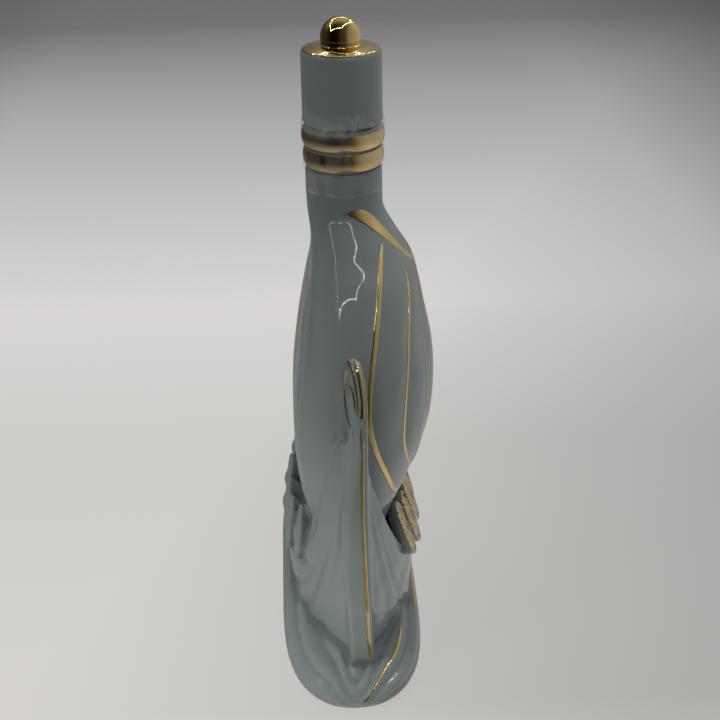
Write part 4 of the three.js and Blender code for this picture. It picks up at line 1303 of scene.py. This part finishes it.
def glazeMaterial():  # celadon grey, with painted shade darkening it in the hollows
    material, tree, shader = startMaterial("celadon_glaze", IOR=1.45)
    tone = ramp(tree, noise(tree, 22, 4), [(0.3, (0.3, 0.355, 0.34)), (0.7, (0.345, 0.4, 0.385))])
    # painted shade: where the hollow mask is high, the glaze colour is mixed towards a darker grey-green
    painted_shade = tree.nodes.new("ShaderNodeAttribute")
    painted_shade.attribute_name = "painted_shade"
    mix = tree.nodes.new("ShaderNodeMix")
    mix.data_type = "RGBA"
    mix.inputs["B"].default_value = (0.21, 0.255, 0.245, 1)
    tree.links.new(painted_shade.outputs["Fac"], mix.inputs["Factor"])
    tree.links.new(tone, mix.inputs["A"])
    tree.links.new(mix.outputs["Result"], shader.inputs["Base Color"])
    tree.links.new(remap(tree, noise(tree, 60, 2), 0.03, 0.08), shader.inputs["Roughness"])
    bump(tree, shader, noise(tree, 40, 1), 1.0, 0.0022)  # the slow waviness of a slip-cast wall
    return material


def goldMaterial():
    material, tree, shader = startMaterial("fired_gold", Metallic=1.0)
    tone = ramp(tree, noise(tree, 120, 4), [(0.35, (0.78, 0.57, 0.22)), (0.65, (0.88, 0.67, 0.33))])
    tree.links.new(tone, shader.inputs["Base Color"])
    tree.links.new(remap(tree, noise(tree, 300, 3), 0.03, 0.12), shader.inputs["Roughness"])
    bump(tree, shader, noise(tree, 700, 2), 0.05, 0.0003)
    return material


def hatchedGoldMaterial():  # gold brushed in crossed strokes, so that glaze shows between them
    material, tree, shader = startMaterial("hatched_gold")
    coords = tree.nodes.new("ShaderNodeTexCoord")
    strokes = []
    for turn in (35, -35):
        mapping = tree.nodes.new("ShaderNodeMapping")
        mapping.inputs["Rotation"].default_value = (np.radians(turn), np.radians(-33), 0)
        wave = tree.nodes.new("ShaderNodeTexWave")
        wave.bands_direction = "Y"
        wave.inputs["Scale"].default_value = 150
        wave.inputs["Distortion"].default_value = 1.5
        wave.inputs["Detail Scale"].default_value = 3
        tree.links.new(coords.outputs["Object"], mapping.inputs["Vector"])
        tree.links.new(mapping.outputs["Vector"], wave.inputs["Vector"])
        strokes.append(wave.outputs["Fac"])
    both = tree.nodes.new("ShaderNodeMath")
    both.operation = "MAXIMUM"
    tree.links.new(strokes[0], both.inputs[0])
    tree.links.new(strokes[1], both.inputs[1])
    cover = ramp(tree, both.outputs["Value"], [(0.35, grey(0)), (0.6, grey(1))])
    tone = ramp(tree, both.outputs["Value"], [(0.35, (0.27, 0.31, 0.3)), (0.6, (0.84, 0.62, 0.28))])
    tree.links.new(cover, shader.inputs["Metallic"])
    tree.links.new(tone, shader.inputs["Base Color"])
    tree.links.new(remap(tree, noise(tree, 300, 3), 0.1, 0.22), shader.inputs["Roughness"])
    bump(tree, shader, both.outputs["Value"], 0.3, 0.0003)
    return material


def corkMaterial():
    material, tree, shader = startMaterial("natural_cork", Specular_IOR_Level=0.2)
    grain = noise(tree, 420, 6, 0.65, (1, 1, 0.6))
    tone = ramp(tree, grain, [
        (0.3, (0.2, 0.1, 0.045)), (0.42, (0.42, 0.25, 0.12)), (0.7, (0.56, 0.36, 0.19))])
    tree.links.new(tone, shader.inputs["Base Color"])
    tree.links.new(remap(tree, grain, 0.95, 0.7), shader.inputs["Roughness"])
    bump(tree, shader, grain, 0.6, 0.0006)
    return material


def filmMaterial():
    material, tree, shader = startMaterial("clear_film", Specular_IOR_Level=0.6)
    wrinkle = noise(tree, 160, 3, 0.6, (1, 1, 0.5))
    shader.inputs["Base Color"].default_value = (0.86, 0.88, 0.88, 1)
    tree.links.new(remap(tree, wrinkle, 0.08, 0.2), shader.inputs["Roughness"])
    # clearest over the beads, crumpled at the joint and at the foot
    x, y, z = axesOf(tree, "Object")
    place = rangeOf(tree, z, film["footZ"] * mm, film["topZ"] * mm)
    crumple = ramp(tree, place, [
        (0.0, grey(1)), (0.06, grey(0.3)), (0.7, grey(0.12)), (0.85, grey(0.75)), (1.0, grey(0.2))])
    cloud = ramp(tree, wrinkle, [(0.4, grey(0.05)), (0.65, grey(0.55))])
    tree.links.new(combined(tree, "MULTIPLY", cloud, crumple), shader.inputs["Alpha"])
    bump(tree, shader, wrinkle, 0.25, 0.0006)
    return material


def spiritMaterial():
    finish = {"IOR": 1.36, "Roughness": 0.02, "Transmission_Weight": 0.8}
    material, tree, shader = startMaterial("amber_spirit", **finish)
    tone = ramp(tree, noise(tree, 12, 2), [(0.3, (0.5, 0.2, 0.035)), (0.7, (0.62, 0.28, 0.06))])
    tree.links.new(tone, shader.inputs["Base Color"])
    return material


# settings of the painted shade in the hollows: smoothing rounds, and the hollowness where it starts and
# where it is full
paintedShadeMask = {"rounds": 6, "start": 0.005, "reach": 0.05}


def addPaintedShade(piece):  # how hollow the surface is: the neighbours' mean offset along the normal, smoothed, as the mask of painted shade in the hollows
    mesh = piece.data
    points, edges = meshPoints(mesh), meshEdges(mesh)
    flat = np.empty(3 * len(mesh.vertices), np.float32)
    mesh.vertices.foreach_get("normal", flat)
    dent = np.sum((neighbourMean(points, edges) - points) * flat.reshape(-1, 3), 1)[:, None]
    for turn in range(paintedShadeMask["rounds"]):
        dent = 0.5 * dent + 0.5 * neighbourMean(dent, edges)
    painted_shade = smooth((dent[:, 0] - paintedShadeMask["start"]) / paintedShadeMask["reach"])
    attribute = mesh.attributes.new("painted_shade", "FLOAT", "POINT")
    attribute.data.foreach_set("value", painted_shade.astype(np.float32))


glaze, gold, hatchedGold = glazeMaterial(), goldMaterial(), hatchedGoldMaterial()
# painted shade in the hollows goes onto each glaze piece as a mask
for piece in (body, leeShields, *scrolls, flaskNeck):
    addPaintedShade(piece)
    finishPiece(piece, glaze, "flask", "porcelain", "flask")
for node, piece in golds.items():
    finishPiece(piece, hatchedGold if node.startswith("shield") else gold, "flask", "gold", node)
# painted shade in the hollows of the cap as well
addPaintedShade(head)
finishPiece(head, glaze, "stopper", "porcelain", "stopper_head")
finishPiece(headGold, gold, "stopper", "gold", "stopper_gilding")
finishPiece(cork, corkMaterial(), "stopper", "cork", "stopper_cork")
finishPiece(seal, filmMaterial(), "flask", "film", "shrink_seal")
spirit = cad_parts["cognac_fill"]
spirit.data.materials.clear()
spirit.data.materials.append(spiritMaterial())
print("materials given")


# Stage: a floor that glows with painted light, darkening away from the object, and a tent of soft light
# with lamp strips
stage = {
    "floorRadius": 12.0,
    "floorSides": 96,
    "floorDrop": 0.02,  # millimetres below the foot
    "floorGlow": 1.08,
    "stripHeight": 0.62,
    "stripWidth": 0.003,
    "stripRadiance": 44.0,
    "lidHeight": 1.3,
    "lidSize": 0.5,
    "lidPower": 1.2,
    "footLampFrom": (-0.42, -0.36, 0.3),
    "footLampTo": (-0.02, -0.09, 0.012),
    "footLampPower": 6.2,
    "footLampCone": 25.0,
    "footLampSize": 0.1,
    "boxFrom": (-0.55, 0.9, 0.45),
    "boxTo": (0.0, 0.0, 0.12),
    "boxPower": 1.6,
    "boxWidth": 0.16,
    "boxTall": 0.5,
    "ringLeft": -0.38,
    "ringRight": 0.16,
    "ringFront": -0.2,
    "ringBack": 0.4,
    "ringSkew": 0.6,
}


def floorGlow(tree):  # painted light on the floor, which falls off behind, to the right and far aside, and ends before the camera
    x, y, z = axesOf(tree, "Object")
    away = ramp(tree, rangeOf(tree, y, -0.5, 2.5), [
        (0.02, grey(0.02)), (0.08, (0.95, 0.92, 0.87)), (0.133, (0.58, 0.56, 0.53)),
        (0.21, (0.52, 0.51, 0.49)), (0.28, (0.59, 0.57, 0.56)), (0.4, (0.37, 0.38, 0.39)),
        (0.583, grey(0.135)), (1.0, grey(0.04))])
    slant = tree.nodes.new("ShaderNodeMath")  # x - y / 2, as the painted light grows darker on the right side towards the front
    slant.operation = "MULTIPLY_ADD"
    slant.inputs[1].default_value = -0.5
    tree.links.new(y, slant.inputs[0])
    tree.links.new(x, slant.inputs[2])
    lean = rangeOf(tree, slant.outputs["Value"], -0.12, 0.2)
    across = ramp(tree, lean, [(0.0, grey(1)), (1.0, (0.6, 0.61, 0.62))])
    aside = tree.nodes.new("ShaderNodeMath")
    aside.operation = "ABSOLUTE"
    tree.links.new(x, aside.inputs[0])
    edge = rangeOf(tree, aside.outputs["Value"], 0.3, 1.1)
    edge = ramp(tree, edge, [(0.0, grey(1)), (0.5, grey(0.12)), (1.0, grey(0))])
    far = ramp(tree, aside.outputs["Value"], [(0.3, grey(0)), (1.0, grey(0.06))])
    return combined(tree, "ADD", combined(tree, "MULTIPLY", away, across, edge), far)


def addFloor():  # a tent floor that glows with painted light, in place of the tent's light falling on it
    r = np.concatenate([[0.02], np.linspace(0.1, 3, 30), [6, stage["floorRadius"]]]) / mm
    sides = stage["floorSides"]
    points, faces = tube(revolve(np.stack([r, np.full(len(r), -stage["floorDrop"])], 1), sides))
    floor = makeMesh("floor", (points, faces[: (len(r) - 1) * sides]))
    finish = {"Roughness": 0.8, "Specular_IOR_Level": 0.1, "Base_Color": (*grey(0.1), 1)}
    material, tree, shader = startMaterial("tent_floor", Emission_Strength=stage["floorGlow"], **finish)
    tree.links.new(floorGlow(tree), shader.inputs["Emission Color"])
    floor.data.materials.append(material)
    floor.visible_glossy = False  # the glaze mirrors the tent's own ground instead


def addWorld():  # a tent that is dark to the front, with a dim roof and a bright ground
    world = bpy.data.worlds.new("tent")
    bpy.context.scene.world = world
    world.use_nodes = True
    tree = world.node_tree
    x, y, z = axesOf(tree, "Generated")
    toLee, toStern = rangeOf(tree, x, -1, 1), rangeOf(tree, y, -1, 1)
    walls = ramp(tree, toStern, [
        (0.0, grey(0.01)), (0.25, grey(0.02)), (0.5, grey(0.09)), (1.0, grey(0.22))])
    lee = ramp(tree, toLee, [(0.3, grey(0.25)), (0.6, grey(1))])
    sides = ramp(tree, toLee, [(0.3, grey(0)), (0.7, grey(0.04)), (0.9, grey(0.26))])
    ground = ramp(tree, rangeOf(tree, z, -1, 0), [
        (0.1, (0.34, 0.33, 0.31)), (0.5, grey(0.1)), (0.7, grey(0))])
    roof = ramp(tree, rangeOf(tree, z, 0, 1), [(0.3, grey(0)), (0.8, (0.2, 0.23, 0.25))])
    behind = ramp(tree, toStern, [(0.48, grey(0)), (0.7, grey(1))])
    walls, roof = combined(tree, "MULTIPLY", walls, lee), combined(tree, "MULTIPLY", roof, behind)
    light = combined(tree, "ADD", walls, sides, ground, roof)
    tree.links.new(light, tree.nodes["Background"].inputs["Color"])


def addStrip(name, start, end):  # power = radiance x pi x area
    start, end = np.array(start), np.array(end)
    lamp = bpy.data.lights.new(name, "AREA")
    lamp.shape = "RECTANGLE"
    lamp.size, lamp.size_y = float(np.linalg.norm(end - start)), stage["stripWidth"]
    lamp.energy = stage["stripRadiance"] * np.pi * lamp.size * lamp.size_y
    holder = placed(name, lamp)
    holder.location = (*(0.5 * (start + end)), stage["stripHeight"])
    holder.rotation_euler = (0, 0, np.arctan2(end[1] - start[1], end[0] - start[0]))


def addHidden(name, lamp, start, end, power):  # an aimed lamp that the glaze doesn't mirror
    lamp.energy = power
    holder = placed(name, lamp)
    holder.location = start
    holder.rotation_euler = (Vector(end) - Vector(start)).to_track_quat("-Z", "Y").to_euler()
    holder.visible_glossy = False


def addLid():  # the lit cloth of the tent's roof
    lamp = bpy.data.lights.new("lid", "AREA")
    lamp.size = stage["lidSize"]
    addHidden("lid", lamp, (0, 0, stage["lidHeight"]), (0, 0, 0), stage["lidPower"])


def addFootLamp():  # a soft low glow on the bow's foot
    lamp = bpy.data.lights.new("foot_lamp", "SPOT")
    lamp.spot_size = np.radians(stage["footLampCone"])
    lamp.spot_blend = 1.0
    lamp.shadow_soft_size = stage["footLampSize"]
    addHidden("foot_lamp", lamp, stage["footLampFrom"], stage["footLampTo"], stage["footLampPower"])


def addSoftbox():  # lifts the stern and the weather side
    lamp = bpy.data.lights.new("softbox", "AREA")
    lamp.shape = "RECTANGLE"
    lamp.size, lamp.size_y = stage["boxWidth"], stage["boxTall"]
    addHidden("softbox", lamp, stage["boxFrom"], stage["boxTo"], stage["boxPower"])


def addLights():  # a ring of four strips under the tent's roof
    left, right, front, back = (stage["ring" + side] for side in ("Left", "Right", "Front", "Back"))
    ahead, behind = stage["ringSkew"] * front, stage["ringSkew"] * back
    addStrip("strip_back", (left + behind, back), (right + behind, back))
    addStrip("strip_front", (left + ahead, front), (right + ahead, front))
    addStrip("strip_left", (left + ahead, front), (left + behind, back))
    addStrip("strip_right", (right + ahead, front), (right + behind, back))


addFloor()
addWorld()
addLights()
addLid()
addFootLamp()
addSoftbox()
bpy.context.scene.view_settings.view_transform = "Standard"
